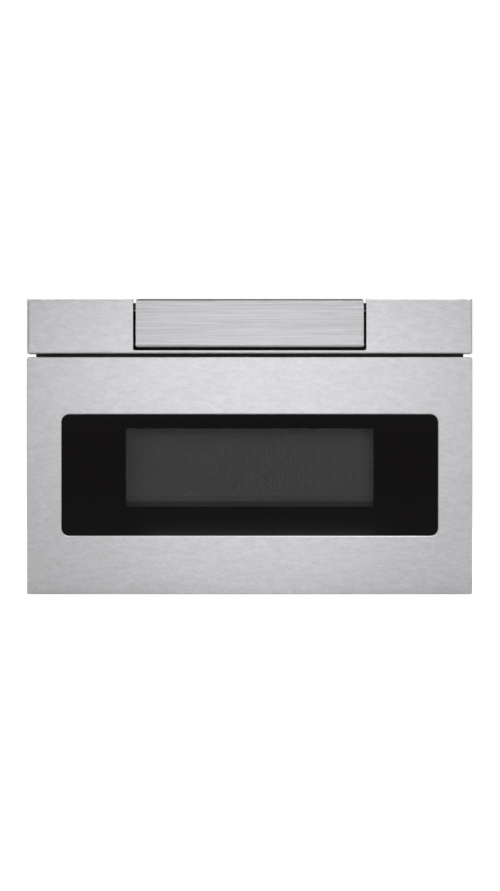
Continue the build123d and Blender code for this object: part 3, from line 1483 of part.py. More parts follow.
# Circuit board on the back of the glass, with a display module.
board_front_y = wall_front_y + seat_gap
board_side_gap = 2.0
board_half = panel_half - end_wall - board_side_gap
board_rear_off = roll_radius - housing_wall - 3.0
display_depth = 9.0
display_half = 40.0
display_front_y = board_front_y + 8.0
display_rear_y = display_front_y + 16.0
display_top = touch_glass + board_sheet
with BuildPart() as control_board:
    with BuildSketch(Plane.YZ.offset(-board_half)):
        with BuildLine():
            Polyline(
                (board_front_y, under_glass(touch_glass, board_front_y)),
                wall_under_glass(touch_glass, board_rear_off),
                wall_under_glass(touch_glass + board_sheet, board_rear_off),
                (board_front_y, under_glass(touch_glass + board_sheet, board_front_y)),
                close=True,
            )
        make_face()
    extrude(amount=2 * board_half)
    with BuildSketch(Plane.YZ.offset(-display_half)):
        with BuildLine():
            Polyline(
                (display_front_y, under_glass(display_top, display_front_y)),
                (display_rear_y, under_glass(display_top, display_rear_y)),
                (display_rear_y, under_glass(display_top + display_depth, display_rear_y)),
                (display_front_y, under_glass(display_top + display_depth, display_front_y)),
                close=True,
            )
        make_face()
    extrude(amount=2 * display_half)

# Hinge pins; the right one carries a toothed sector for the damper.
pin_spare = 1.0
pin_end_x = recess_outer_half + pin_spare
sector_width = 5.0
sector_span = 78.0
sector_lead = -62.0
damper_mesh = tilt_module * (tilt_gear_teeth + damper_teeth) / 2 + mesh_clearance
damper_y = pivot_y + damper_mesh
sector_hub = pin_radius + 0.8
sector_reach = 3 * tilt_module * tilt_gear_teeth


def about_pivot(radius, angle):
    """A point of the panel's section at an angle in degrees about the pivot."""
    return (pivot_y + radius * cos(radians(angle)), pivot_z + radius * sin(radians(angle)))


with BuildPart() as hinge_pins:
    with BuildSketch(Plane.YZ.offset(-pin_end_x)):
        with Locations((pivot_y, pivot_z)):
            Circle(pin_radius)
    extrude(amount=pin_end_x - panel_half + pin_grip)
    with BuildSketch(Plane.YZ.offset(panel_half - pin_grip)):
        with Locations((pivot_y, pivot_z)):
            Circle(pin_radius)
    extrude(amount=pin_end_x + sector_width - panel_half + pin_grip)
    with BuildSketch(Plane.YZ.offset(pin_end_x)):
        with Locations((pivot_y, pivot_z)):
            Polygon(*gear_points(tilt_module, tilt_gear_teeth, pi / tilt_gear_teeth), align=None)
        with BuildLine():
            Line((pivot_y, pivot_z), about_pivot(sector_reach, sector_lead))
            CenterArc((pivot_y, pivot_z), sector_reach, sector_lead, sector_span)
            Line(about_pivot(sector_reach, sector_lead + sector_span), (pivot_y, pivot_z))
        make_face(mode=Mode.INTERSECT)
        with Locations((pivot_y, pivot_z)):
            Circle(sector_hub)
    extrude(amount=sector_width)

# Damper: pinion on a short shaft, and its body on two posts from the recess's end wall.
damper_radius = 9.0
damper_post_radius = 2.5
damper_post_rise = 16.0
damper_gap = 0.5
damper_shaft = 1.5
damper_shaft_length = 4.0
damper_edge = 1.0
damper_plate_sheet = 2.0
damper_body_length = 8.0
damper_body_x = pin_end_x + sector_width + damper_gap
with BuildPart() as damper_pinion:
    with BuildSketch(Plane.YZ.offset(pin_end_x)):
        with Locations((damper_y, pivot_z)):
            Polygon(*gear_points(tilt_module, damper_teeth, pi), align=None)
    extrude(amount=sector_width)
    with BuildSketch(Plane.YZ.offset(pin_end_x)):
        with Locations((damper_y, pivot_z)):
            Circle(damper_shaft)
    extrude(amount=sector_width + damper_gap + damper_shaft_length)

with BuildPart() as tilt_damper:
    with BuildSketch(Plane.YZ.offset(damper_body_x)):
        with Locations((damper_y, pivot_z)):
            Circle(damper_radius)
        with Locations((damper_y, pivot_z + damper_post_rise / 2)):
            Rectangle(2 * damper_radius, damper_post_rise)
        with Locations((damper_y, pivot_z + damper_post_rise)):
            SlotOverall(2 * damper_radius, 2 * (damper_post_radius + damper_edge))
    extrude(amount=damper_plate_sheet)
    with BuildSketch(Plane.YZ.offset(damper_body_x)):
        with Locations((damper_y, pivot_z)):
            Circle(damper_radius)
    extrude(amount=damper_body_length)
    with BuildSketch(Plane.YZ.offset(recess_outer_half)):
        with Locations((damper_y, pivot_z + damper_post_rise)):
            with GridLocations(2 * (damper_radius - damper_post_radius - damper_edge), 1, 2, 1):
                Circle(damper_post_radius)
    extrude(amount=damper_body_x - recess_outer_half)
    with BuildSketch(Plane.YZ.offset(damper_body_x)):
        with Locations((damper_y, pivot_z)):
            Circle(damper_shaft + running_clearance)
    extrude(amount=damper_shaft_length + 0.5, mode=Mode.SUBTRACT)

# Recess: a moulded trough with a roof concentric with the panel's pivot and end walls that hold the pins.
recess_front_y = face_y + front_sheet + seat_gap
panel_rear_gap = 1.6
panel_rear_reach = panel_rear_radius * sin(lean + atan2(roll_radius, rear_length))
recess_back_y = pivot_y + panel_rear_reach + panel_rear_gap
recess_back_outer_y = recess_back_y + recess_wall
back_inner_z = pivot_z + sqrt(recess_inner_radius**2 - (recess_back_y - pivot_y) ** 2)
back_outer_z = pivot_z + sqrt(recess_outer_radius**2 - (recess_back_outer_y - pivot_y) ** 2)
roof_inner_z = pivot_z + sqrt(recess_inner_radius**2 - (flange_front_y - pivot_y) ** 2)
roof_outer_z = pivot_z + sqrt(recess_outer_radius**2 - (flange_front_y - pivot_y) ** 2)
end_wall_drop = 4.0
end_corner_z = front_top - front_sheet - end_wall_drop
end_top_z = front_top - front_sheet - seat_gap


def roof_arc(radius, start_y, end_y):
    """An arc about the pivot between two depths."""
    start = degrees(acos((start_y - pivot_y) / radius))
    end = degrees(acos((end_y - pivot_y) / radius))
    return CenterArc((pivot_y, pivot_z), radius, start, end - start)


hem_gap = 1.3
recess_lip_y = face_y + hem_depth + hem_gap
end_wall_step = 0.5
end_wall_outline = [
    (recess_back_outer_y, back_outer_z),
    (recess_back_outer_y, recess_floor_z),
    (recess_front_y, recess_floor_z),
    (recess_front_y, end_corner_z),
    (recess_front_y + fascia_bend, end_top_z),
    (flange_front_y - seat_gap, end_top_z),
    (flange_front_y - seat_gap, roof_outer_z - end_wall_step),
    (flange_front_y, roof_outer_z - end_wall_step),
    (flange_front_y, roof_outer_z),
]
with BuildPart() as control_recess:
    with BuildSketch(Plane.YZ.offset(-recess_outer_half)):
        with BuildLine():
            Polyline(
                (recess_lip_y, recess_floor_z),
                (recess_back_outer_y, recess_floor_z),
                (recess_back_outer_y, back_outer_z),
            )
            roof_arc(recess_outer_radius, recess_back_outer_y, flange_front_y)
            Line((flange_front_y, roof_outer_z), (flange_front_y, roof_inner_z))
            roof_arc(recess_inner_radius, flange_front_y, recess_back_y)
            Polyline(
                (recess_back_y, back_inner_z),
                (recess_back_y, recess_floor_z + recess_wall),
                (recess_lip_y, recess_floor_z + recess_wall),
                (recess_lip_y, recess_floor_z),
            )
        make_face()
    extrude(amount=2 * recess_outer_half)
    for wall_x in (-recess_outer_half, recess_half):
        with BuildSketch(Plane.YZ.offset(wall_x)):
            with BuildLine():
                Polyline(*end_wall_outline)
                roof_arc(recess_outer_radius, flange_front_y, recess_back_outer_y)
            make_face()
            with Locations((pivot_y, pivot_z)):
                Circle(pin_radius + running_clearance, mode=Mode.SUBTRACT)
        extrude(amount=recess_end_wall)

# =====================================================================================================
# One file per piece
# =====================================================================================================

pieces = {
    "outer_cover": outer_cover,
    "base_pan": base_pan,
    "back_panel": back_panel,
    "chassis_screws": chassis_screws,
    "cord_gland": cord_gland,
    "mounting_frame": mounting_frame,
    "fascia": fascia,
    "control_recess": control_recess,
    "tilt_damper": tilt_damper,
    "oven_shell": oven_shell,
    "oven_ceiling": oven_ceiling,
    "antenna_cover": antenna_cover,
    "oven_lamp": oven_lamp,
    "waveguide": waveguide,
    "magnetron": magnetron,
    "antenna_motor": antenna_motor,
    "air_duct": air_duct,
    "fan_housing": fan_housing,
    "fan_motor": fan_motor,
    "transformer_core": transformer_core,
    "transformer_windings": transformer_windings,
    "hv_capacitor": hv_capacitor,
    "power_board": power_board,
    "line_filter_board": line_filter_board,
    "slide_brackets": slide_brackets,
    "slide_outer_members": slide_outer_members,
    "drive_motor": drive_motor,
    "shaft_brackets": shaft_brackets,
    "shaft_bushes": shaft_bushes,
    "interlock_switches": interlock_switches,
    "left_slide_middle": left_slide_middle,
    "right_slide_middle": right_slide_middle,
    "outer_ball_cages": outer_ball_cages,
    "inner_ball_cages": inner_ball_cages,
    "cross_shaft": cross_shaft,
    "shaft_gears": shaft_gears,
    "motor_pinion": motor_pinion,
    "switch_plungers": switch_plungers,
    "fan_blade": fan_blade,
    "rotating_antenna": rotating_antenna,
    "control_housing": control_housing,
    "control_face": control_face,
    "control_glass": control_glass,
    "control_board": control_board,
    "hinge_pins": hinge_pins,
    "damper_pinion": damper_pinion,
    "drawer_front": drawer_front,
    "door_glass": door_glass,
    "choke_frame": choke_frame,
    "door_screen": door_screen,
    "choke_cover": choke_cover,
    "inner_glass": inner_glass,
    "drawer_bin": drawer_bin,
    "ceramic_floor": ceramic_floor,
    "bin_glides": bin_glides,
    "drawer_arms": drawer_arms,
    "door_screws": door_screws,
    "drive_racks": drive_racks,
    "slide_inner_members": slide_inner_members,
    "latch_hooks": latch_hooks,
}
for label, piece in pieces.items():
    piece.part.label = label
    export_step(piece.part, f"parts/{label}.step")

print("front", round(2 * front_half, 2), "by", round(front_top, 2), "depth", round(overall_depth, 2))
print("pieces", len(pieces), "drawer inside", bin_width, bin_depth_inside, bin_length_inside)
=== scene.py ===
"""Looks of a built-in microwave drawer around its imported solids, in metres, seen straight from the front."""

from math import cos, pi, sin

import bmesh
import bpy
from mathutils import Matrix, Vector


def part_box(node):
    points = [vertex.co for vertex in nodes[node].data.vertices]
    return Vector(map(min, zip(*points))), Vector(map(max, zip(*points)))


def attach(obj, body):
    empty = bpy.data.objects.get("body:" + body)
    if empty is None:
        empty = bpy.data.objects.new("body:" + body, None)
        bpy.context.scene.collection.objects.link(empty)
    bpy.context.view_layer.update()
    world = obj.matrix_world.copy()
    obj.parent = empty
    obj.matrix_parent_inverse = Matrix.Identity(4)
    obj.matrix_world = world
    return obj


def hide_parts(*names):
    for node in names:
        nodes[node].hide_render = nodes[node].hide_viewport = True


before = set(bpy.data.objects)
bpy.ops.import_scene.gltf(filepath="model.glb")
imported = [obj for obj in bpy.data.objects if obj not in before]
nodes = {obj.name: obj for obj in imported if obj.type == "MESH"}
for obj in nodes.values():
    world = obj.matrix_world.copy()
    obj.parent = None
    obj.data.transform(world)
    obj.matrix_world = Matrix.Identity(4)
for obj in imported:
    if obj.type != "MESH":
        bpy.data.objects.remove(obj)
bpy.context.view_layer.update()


# ---- Studio -----------------------------------------------------------------------------------------
# White paper to the camera and a grey room to everything else: soft lights in front, overhead, at the
# sides and behind, a floor painted white, and a long lens level with the middle of the front.
class Signal:
    """A number or colour on its way through a node tree: arithmetic with it adds Math nodes."""

    def __init__(self, wiring, socket):
        self.wiring = wiring
        self.socket = socket

    def maths(self, operation, *terms):
        return self.wiring.node("ShaderNodeMath", {"operation": operation}, dict(enumerate(terms)))

    def at_least(self, low):
        return self.maths("MAXIMUM", self, low)

    def __add__(self, other):
        return self.maths("ADD", self, other)

    def __sub__(self, other):
        return self.maths("SUBTRACT", self, other)

    def __rsub__(self, other):
        return self.maths("SUBTRACT", other, self)

    def __mul__(self, other):
        return self.maths("MULTIPLY", self, other)

    def __lt__(self, other):
        return self.maths("LESS_THAN", self, other)

    def __gt__(self, other):
        return self.maths("GREATER_THAN", self, other)

    def __abs__(self):
        return self.maths("ABSOLUTE", self)

    __radd__ = __add__
    __rmul__ = __mul__


class Wiring:
    """A node tree that is filled by calls: settings come first, then values or signals for its sockets."""

    def __init__(self, tree):
        self.tree = tree

    def node(self, kind, settings=None, sockets=None, out=0):
        made = self.tree.nodes.new(kind)
        for name, value in (settings or {}).items():
            setattr(made, name, value)
        for name, value in (sockets or {}).items():
            if isinstance(value, Signal):
                self.tree.links.new(value.socket, made.inputs[name])
            else:
                made.inputs[name].default_value = value
        return Signal(self, made.outputs[out]) if made.outputs else made


class Finish(Wiring):
    """A procedural material around one Principled shader."""

    def __init__(self, name, **plain):
        self.material = bpy.data.materials.new(name)
        self.material.use_nodes = True
        super().__init__(self.material.node_tree)
        self.tree.nodes.clear()
        surface = self.node("ShaderNodeBsdfPrincipled")
        self.node("ShaderNodeOutputMaterial", {}, {0: surface})
        self.shader = surface.socket.node
        self.shade(**plain)

    def shade(self, **sockets):
        """Sets the shader's sockets, with underscores for the spaces in their names."""
        for name, value in sockets.items():
            socket = self.shader.inputs[name.replace("_", " ")]
            if isinstance(value, Signal):
                self.tree.links.new(value.socket, socket)
            else:
                socket.default_value = (*value, 1) if isinstance(value, tuple) else value

    def place(self, scale):
        """The surface's own coordinates, in metres, stretched by a scale along X, Y and Z."""
        here = self.node("ShaderNodeTexCoord", out=3)
        return self.node("ShaderNodeMapping", {}, {"Vector": here, "Scale": scale})

    def axis(self, which):
        """One coordinate of the surface, in metres: 0, 1 or 2 for X, Y or Z."""
        return self.node("ShaderNodeSeparateXYZ", {}, {0: self.node("ShaderNodeTexCoord", out=3)}, which)

    def noise(self, place, detail=2.0, roughness=0.5):
        sockets = {"Vector": place, "Scale": 1.0, "Detail": detail, "Roughness": roughness}
        return self.node("ShaderNodeTexNoise", {}, sockets)

    def mix(self, factor, first, second):
        """A colour between two, as factor goes from 0 to 1."""
        ends = [(*c, 1) if isinstance(c, tuple) else c for c in (first, second)]
        return self.node("ShaderNodeMix", {"data_type": "RGBA"}, {0: factor, 6: ends[0], 7: ends[1]}, 2)

    def bump(self, height, distance, strength):
        sockets = {"Height": height, "Distance": distance, "Strength": strength}
        return self.node("ShaderNodeBump", {}, sockets)

    def dress(self, *names):
        """Puts this finish on CAD nodes."""
        for name in names:
            nodes[name].data.materials.clear()
            nodes[name].data.materials.append(self.material)
        return self


def put(name, data):
    """A new object in the scene, made of a lens, a light, a mesh or a text."""
    made = bpy.data.objects.new(name, data)
    bpy.context.scene.collection.objects.link(made)
    return made


front_low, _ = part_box("drawer_front")
_, fascia_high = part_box("fascia")
face_y = front_low.y
middle_z = (front_low.z + fascia_high.z) / 2
picture_height_px = 891
metres_per_px = 0.0013615
camera_distance = 5.0
aim_right_px = 0.3
aim_above_px = 0.9
camera_x = aim_right_px * metres_per_px
camera_z = middle_z + aim_above_px * metres_per_px

lens = bpy.data.cameras.new("long_lens")
lens.sensor_width = 36.0
lens.lens = lens.sensor_width * camera_distance / (picture_height_px * metres_per_px)
camera = put("camera", lens)
camera.location = (camera_x, face_y - camera_distance, camera_z)
camera.rotation_euler = (pi / 2, 0, 0)
bpy.context.scene.camera = camera
bpy.context.scene.view_settings.view_transform = "Standard"


def soft_light(name, place, aim, size, power):
    """A rectangular studio light at a place, facing a point, that the camera itself doesn't see."""
    lamp = bpy.data.lights.new(name, "AREA")
    lamp.shape = "RECTANGLE"
    lamp.size, lamp.size_y = size
    lamp.energy = power
    holder = put(name, lamp)
    holder.location = place
    holder.rotation_euler = (Vector(aim) - Vector(place)).to_track_quat("-Z", "Y").to_euler()
    holder.visible_camera = False


lights_y = face_y - 1.5
soft_light("front_light", (0.01, lights_y, 0.38), (0.02, face_y, 0.30), (0.82, 0.2), 1.37)
soft_light("low_light", (0.02, lights_y, 0.018), (0.02, face_y, 0.05), (0.4, 0.03), 0.37)
soft_light("rim_light", (0.2, lights_y, 1.55), (0.0, face_y, 0.2), (0.9, 0.5), 5)
soft_light("side_rim_light", (1.6, lights_y, 0.30), (0.0, face_y, 0.2), (0.3, 0.5), 2.6)
soft_light("top_edge_light", (0.0, face_y + 0.35, 1.9), (0.0, face_y, 0.4), (2.2, 0.5), 12)
soft_light("overhead_light", (0.0, face_y - 0.6, 2.4), (0.0, 0.0, 0.3), (2.4, 2.0), 6)
soft_light("left_light", (-2.6, -1.2, 1.6), (0.0, 0.0, 0.2), (1.6, 1.6), 22)
soft_light("right_light", (2.6, -1.0, 1.6), (0.0, 0.0, 0.2), (1.6, 1.6), 11)
soft_light("rear_light", (0.6, 3.0, 1.8), (0.0, 0.2, 0.2), (2.0, 1.6), 40)

room_around = 0.205
room_behind = 0.70
room = bpy.data.worlds.new("studio_room")
room.use_nodes = True
room.node_tree.nodes.clear()
walls = Wiring(room.node_tree)
backwards = walls.node("ShaderNodeSeparateXYZ", {}, {0: walls.node("ShaderNodeTexCoord")}, 1)
shade_of_room = backwards.at_least(0.0) * (room_behind - room_around) + room_around
seen_by_camera = walls.node("ShaderNodeLightPath")
brightness = shade_of_room + seen_by_camera * (1 - shade_of_room)
paper = walls.node("ShaderNodeBackground", {}, {"Color": (1, 1, 1, 1), "Strength": brightness})
walls.node("ShaderNodeOutputWorld", {}, {0: paper})
bpy.context.scene.world = room

floor_half = 9.0
floor_glow_for_object = 0.09
floor_glow_for_camera = 0.9
floor_corners = [(x * floor_half, y * floor_half, 0) for x, y in ((-1, -1), (1, -1), (1, 1), (-1, 1))]
floor_mesh = bpy.data.meshes.new("floor")
floor_mesh.from_pydata(floor_corners, [], [(0, 1, 2, 3)])
floor = put("floor", floor_mesh)
floor_white = Finish("white_floor", Base_Color=(0.55, 0.55, 0.55), Roughness=1.0, Specular_IOR_Level=0.0)
seen_by_camera = floor_white.node("ShaderNodeLightPath")
glow = seen_by_camera * (floor_glow_for_camera - floor_glow_for_object) + floor_glow_for_object
floor_white.shade(
    Emission_Color=floor_white.mix(glow, (0.0, 0.0, 0.0), (1.0, 1.0, 1.0)), Emission_Strength=1.0
)
floor_mesh.materials.append(floor_white.material)


# ---- Cover, base pan, back panel and brackets -------------------------------------------------------
# Folded from zinc-coated sheet: a fine crystal pattern, nearly even in tone, with faint rolling lines
# along the sheet and a dull shine. The waveguide, the drawer's arms and the antenna motor's case are too.
crystals_per_metre = 300
rolling_lines_per_metre = 900
zinc = Finish("zinc_coated_sheet", Metallic=1.0)
crystal_place = zinc.place((crystals_per_metre, crystals_per_metre, crystals_per_metre))
crystal = zinc.node("ShaderNodeTexVoronoi", {"feature": "F1"}, {"Vector": crystal_place, "Scale": 1.0}, 1)
crystal_tone = zinc.node("ShaderNodeSeparateColor", {}, {0: crystal})
rolling = zinc.noise(zinc.place((rolling_lines_per_metre, 6, rolling_lines_per_metre)))
zinc_light = (crystal_tone - 0.5) * 0.55 + (rolling - 0.5) * 0.7 + 0.5
zinc.shade(
    Base_Color=zinc.mix(zinc_light, (0.50, 0.51, 0.52), (0.62, 0.63, 0.64)),
    Roughness=crystal_tone * 0.08 + 0.38,
    Normal=zinc.bump(rolling, 0.00001, 0.3),
)
zinc.dress(
    "outer_cover", "base_pan", "back_panel", "waveguide", "antenna_motor", "slide_brackets", "shaft_brackets",
    "drawer_arms",
)


# ---- Bright steel parts -----------------------------------------------------------------------------
# Slide members, shafts, motors and the transformer's core: cold-rolled or zinc-plated steel with a
# fine drawn speckle.
def satin(name, tone, other, roughness, speck=600.0, metallic=0.0):
    """A surface with a fine two-tone speckle, with this many specks in a metre, and a little relief."""
    made = Finish(name, Metallic=metallic)
    grain = made.noise(made.place((speck, speck, speck)), detail=3.0)
    made.shade(
        Base_Color=made.mix(grain, tone, other),
        Roughness=(grain - 0.5) * 0.15 + roughness,
        Normal=made.bump(grain, 0.00001, 0.4),
    )
    return made


bright_steel = satin(
    "bright_steel", (0.5, 0.5, 0.51), (0.6, 0.6, 0.61), 0.3, speck=500, metallic=1.0
).dress(
    "fan_motor", "transformer_core", "slide_outer_members", "drive_motor", "left_slide_middle",
    "right_slide_middle", "cross_shaft", "motor_pinion", "slide_inner_members",
)


# ---- Hexagon screws ---------------------------------------------------------------------------------
# Zinc-plated hexagon washer-head screws: six hold the back panel, four hold the drawer's arms. The heads
# are cold-formed with a chamfered crown on a thin washer.
class Rule(Wiring):
    """A Geometry Nodes tree with named sizes, that gives a plain mesh for each set of values."""

    def __init__(self, name, **sizes):
        group = bpy.data.node_groups.new(name, "GeometryNodeTree")
        super().__init__(group)
        self.identifiers = {}
        for size, value in sizes.items():
            kind = "NodeSocketInt" if isinstance(value, int) else "NodeSocketFloat"
            socket = group.interface.new_socket(size, in_out="INPUT", socket_type=kind)
            socket.default_value = value
            self.identifiers[size] = socket.identifier
        group.interface.new_socket("Geometry", in_out="OUTPUT", socket_type="NodeSocketGeometry")
        self.entry = self.node("NodeGroupInput").socket.node

    def size(self, name):
        return Signal(self, self.entry.outputs[name])

    def point(self, x=0.0, y=0.0, z=0.0):
        return self.node("ShaderNodeCombineXYZ", {}, {0: x, 1: y, 2: z})

    def gathered(self, shape, entry, parts):
        """Links several shapes to one entry of the node that a shape comes from."""
        for part in parts:
            self.tree.links.new(part.socket, shape.socket.node.inputs[entry])
        return shape

    def join(self, *parts):
        return self.gathered(self.node("GeometryNodeJoinGeometry"), "Geometry", parts)

    def union(self, *parts):
        """One closed solid out of solids that overlap."""
        united = self.node("GeometryNodeMeshBoolean", {"operation": "UNION", "solver": "EXACT"})
        return self.gathered(united, "Mesh 2", parts)

    def moved(self, shape, **way):
        """The shape moved along x, y or z."""
        return self.node("GeometryNodeTransform", {}, {"Geometry": shape, "Translation": self.point(**way)})

    def stud(self, sides, low, height, bottom, top):
        """A closed stud that stands on the height low, straight or tapered, with a radius at each end."""
        sizes = {"Vertices": sides, "Radius Bottom": bottom, "Radius Top": top, "Depth": height}
        return self.moved(self.node("GeometryNodeMeshCone", {}, sizes), z=low)

    def repeated(self, shape, points):
        """The shape at each point."""
        return self.node("GeometryNodeInstanceOnPoints", {}, {"Points": points, "Instance": shape})

    def corners(self, shape, across, rise, rows=2):
        """The shape at each point of an upright grid, two columns wide."""
        sizes = {"Size X": across, "Size Y": rise, "Vertices X": 2, "Vertices Y": rows}
        return self.repeated(shape, self.node("GeometryNodeMeshGrid", {}, sizes))

    def line(self, count, start, step):
        """A row of points."""
        sizes = {"Count": count, "Start Location": start, "Offset": step}
        return self.node("GeometryNodeMeshLine", {}, sizes)

    def realized(self, shape):
        """What is repeated, as real faces."""
        return self.node("GeometryNodeRealizeInstances", {}, {0: shape})

    def end(self, shape, material):
        """Ends the tree: makes what is repeated real and gives it its material."""
        sockets = {"Geometry": self.realized(shape), "Material": material}
        self.node("NodeGroupOutput", {}, {0: self.node("GeometryNodeSetMaterial", {}, sockets)})

    def piece(self, name, body, slot, place, **sizes):
        """Makes a mesh piece with these sizes, puts it in its place and lets it ride on a body."""
        maker = put(name + "_maker", bpy.data.meshes.new(name))
        modifier = maker.modifiers.new("rule", "NODES")
        modifier.node_group = self.tree
        for size, value in sizes.items():
            modifier[self.identifiers[size]] = value
        evaluated = maker.evaluated_get(bpy.context.evaluated_depsgraph_get())
        mesh = bpy.data.meshes.new_from_object(evaluated)
        maker.modifiers.remove(modifier)
        bpy.data.objects.remove(maker)
        mesh.transform(place)
        made = put(name, mesh)
        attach(made, body)
        return made


def facing_back(y, z):
    """Turns an upright grid's own Z to the back, with its middle at a depth and height."""
    return Matrix.Translation((0, y, z)) @ Matrix.Rotation(-pi / 2, 4, "X")


plated = satin("zinc_plated_screw", (0.6, 0.6, 0.58), (0.72, 0.72, 0.7), 0.26, speck=700, metallic=1.0)
screws = Rule("hex_washer_screws", across=0.5, rise=0.2, rows=3, reach=0.003)
head_height = 0.0018
head_radius = 0.0033
shank_radius = 0.0015
sunk_in_washer = 0.0003
reach = screws.size("reach")
washer = screws.stud(24, low=0.0, height=0.0006, bottom=0.0040, top=0.0038)
head = screws.stud(
    6, low=sunk_in_washer, height=head_height - sunk_in_washer, bottom=head_radius, top=head_radius
)
crown = screws.stud(6, low=head_height, height=0.0006, bottom=head_radius, top=0.0024)
shank = screws.stud(12, low=reach * -1, height=reach + sunk_in_washer, bottom=shank_radius, top=shank_radius)
screw = screws.union(washer, head, crown, shank)
screw_places = {name: screws.size(name) for name in ("across", "rise", "rows")}
screws.end(screws.corners(screw, **screw_places), plated.material)

# A head of the solids reaches this far from its middle, and stands this high.
solid_head_across = 0.0040
solid_head_up = 0.00346
solid_head_height = 0.0024
for name, node, body, rows, reach in (
    ("back_panel_screws", "chassis_screws", "chassis", 3, 0.0008),
    ("arm_screws", "door_screws", "drawer", 2, 0.0063),
):
    low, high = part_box(node)
    made = screws.piece(
        name,
        body,
        "steel",
        facing_back(high.y - solid_head_height, (low.z + high.z) / 2),
        across=high.x - low.x - 2 * solid_head_across,
        rise=high.z - low.z - 2 * solid_head_up,
        rows=rows,
        reach=reach,
    )
    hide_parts(node)


# ---- Ball cages -------------------------------------------------------------------------------------
# Steel balls in thin moulded retainer strips, above and below the middle of each slide: an outer set
# between the outer and middle members, and an inner set between the middle and inner members. The small
# gears, racks, bushes, glides and covers are of the same white moulding.
white_moulding = satin("white_moulding", (0.72, 0.71, 0.67), (0.78, 0.77, 0.74), 0.42, speck=700).dress(
    "antenna_cover", "oven_lamp", "shaft_bushes", "shaft_gears", "switch_plungers", "damper_pinion",
    "bin_glides", "drive_racks",
)
strip_sheet = 0.0010
strips = Rule("retainer_strips", across=0.5, rise=0.04, width=0.0046, length=0.26)
strip_size = strips.point(strips.size("width"), strip_sheet, strips.size("length"))
strip = strips.node("GeometryNodeMeshCube", {}, {"Size": strip_size})
strips.end(strips.corners(strip, strips.size("across"), strips.size("rise")), white_moulding.material)

balls = Rule("slide_balls", across=0.5, rise=0.04, count=21, pitch=0.012, ball=0.0016)
count, pitch = balls.size("count"), balls.size("pitch")
row = balls.line(count, balls.point(z=(count - 1) * pitch * -0.5), balls.point(z=pitch))
ball = balls.node("GeometryNodeMeshUVSphere", {}, {"Segments": 8, "Rings": 6, "Radius": balls.size("ball")})
ball = balls.node("GeometryNodeSetShadeSmooth", {}, {"Geometry": ball})
run = balls.repeated(ball, row)
balls.end(balls.corners(run, balls.size("across"), balls.size("rise")), bright_steel.material)

cage_height = 0.0027
for side, width in (("outer", 0.0046), ("inner", 0.0047)):
    low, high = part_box(side + "_ball_cages")
    spread = {"across": high.x - low.x - width, "rise": high.z - low.z - cage_height}
    cage_size = {"width": width, "length": high.y - low.y}
    middle = facing_back((low.y + high.y) / 2, (low.z + high.z) / 2)
    body = side + "_cages"
    made = strips.piece(side + "_retainers", body, "white_plastic", middle, **cage_size, **spread)
    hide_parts(side + "_ball_cages")
    balls.piece(side + "_balls", body, "steel", middle, **spread)


# ---- Mouldings, enamel and paint --------------------------------------------------------------------
# Black mouldings round the control panel, fan and cord gland, grey ones for the air duct and the bin with
# its pale glass-ceramic floor, grey enamel in the oven, satin black paint on the mounting frame, and dark
# grey enamel on the choke frame behind the drawer's glass.
satin("satin_black_paint", (0.010, 0.010, 0.011), (0.016, 0.016, 0.017), 0.45).dress("mounting_frame")
satin("dark_enamel", (0.23, 0.23, 0.235), (0.26, 0.26, 0.265), 0.42).dress("choke_frame")
satin("grey_enamel", (0.36, 0.36, 0.37), (0.42, 0.42, 0.43), 0.38).dress("oven_shell", "oven_ceiling")
satin("black_moulding", (0.012, 0.012, 0.013), (0.02, 0.02, 0.021), 0.5, speck=900).dress(
    "cord_gland", "control_recess", "tilt_damper", "fan_housing", "interlock_switches", "fan_blade",
    "control_housing", "choke_cover", "latch_hooks",
)
satin("blackened_steel", (0.015, 0.015, 0.016), (0.025, 0.025, 0.026), 0.4, speck=700).dress("hinge_pins")
satin("grey_moulding", (0.36, 0.36, 0.37), (0.42, 0.42, 0.43), 0.45, speck=700).dress(
    "air_duct", "drawer_bin"
)
satin("glass_ceramic", (0.76, 0.76, 0.74), (0.8, 0.8, 0.78), 0.12, speck=300).dress("ceramic_floor")


# ---- Microwave generator and boards -----------------------------------------------------------------
# Pressed aluminium fins on the magnetron, a drawn can on the capacitor and a cut sheet for the antenna,
# lacquered copper wire wound round the transformer's core with painted shade between turns, and green circuit
# boards.
satin("plain_aluminium", (0.66, 0.66, 0.67), (0.74, 0.74, 0.75), 0.32, speck=400, metallic=1.0).dress(
    "magnetron", "hv_capacitor", "rotating_antenna"
)
copper = Finish("lacquered_copper", Metallic=0.9)
# The bands of the turns give the copper relief and also paint it darker in the grooves between the wires:
# painted shade.
turns = copper.node(
    "ShaderNodeTexWave",
    {"wave_type": "BANDS", "bands_direction": "Z"},
    {"Vector": copper.place((1, 1, 1)), "Scale": 130.0, "Distortion": 0.6, "Detail": 1.0},
    1,
)
copper.shade(
    Base_Color=copper.mix(turns, (0.30, 0.09, 0.03), (0.62, 0.28, 0.13)),
    Roughness=0.36 - turns * 0.1,
    Normal=copper.bump(turns, 0.0004, 0.8),
)
copper.dress("transformer_windings")
satin("circuit_board", (0.01, 0.09, 0.03), (0.02, 0.13, 0.05), 0.4, speck=700).dress(
    "power_board", "line_filter_board", "control_board"
)


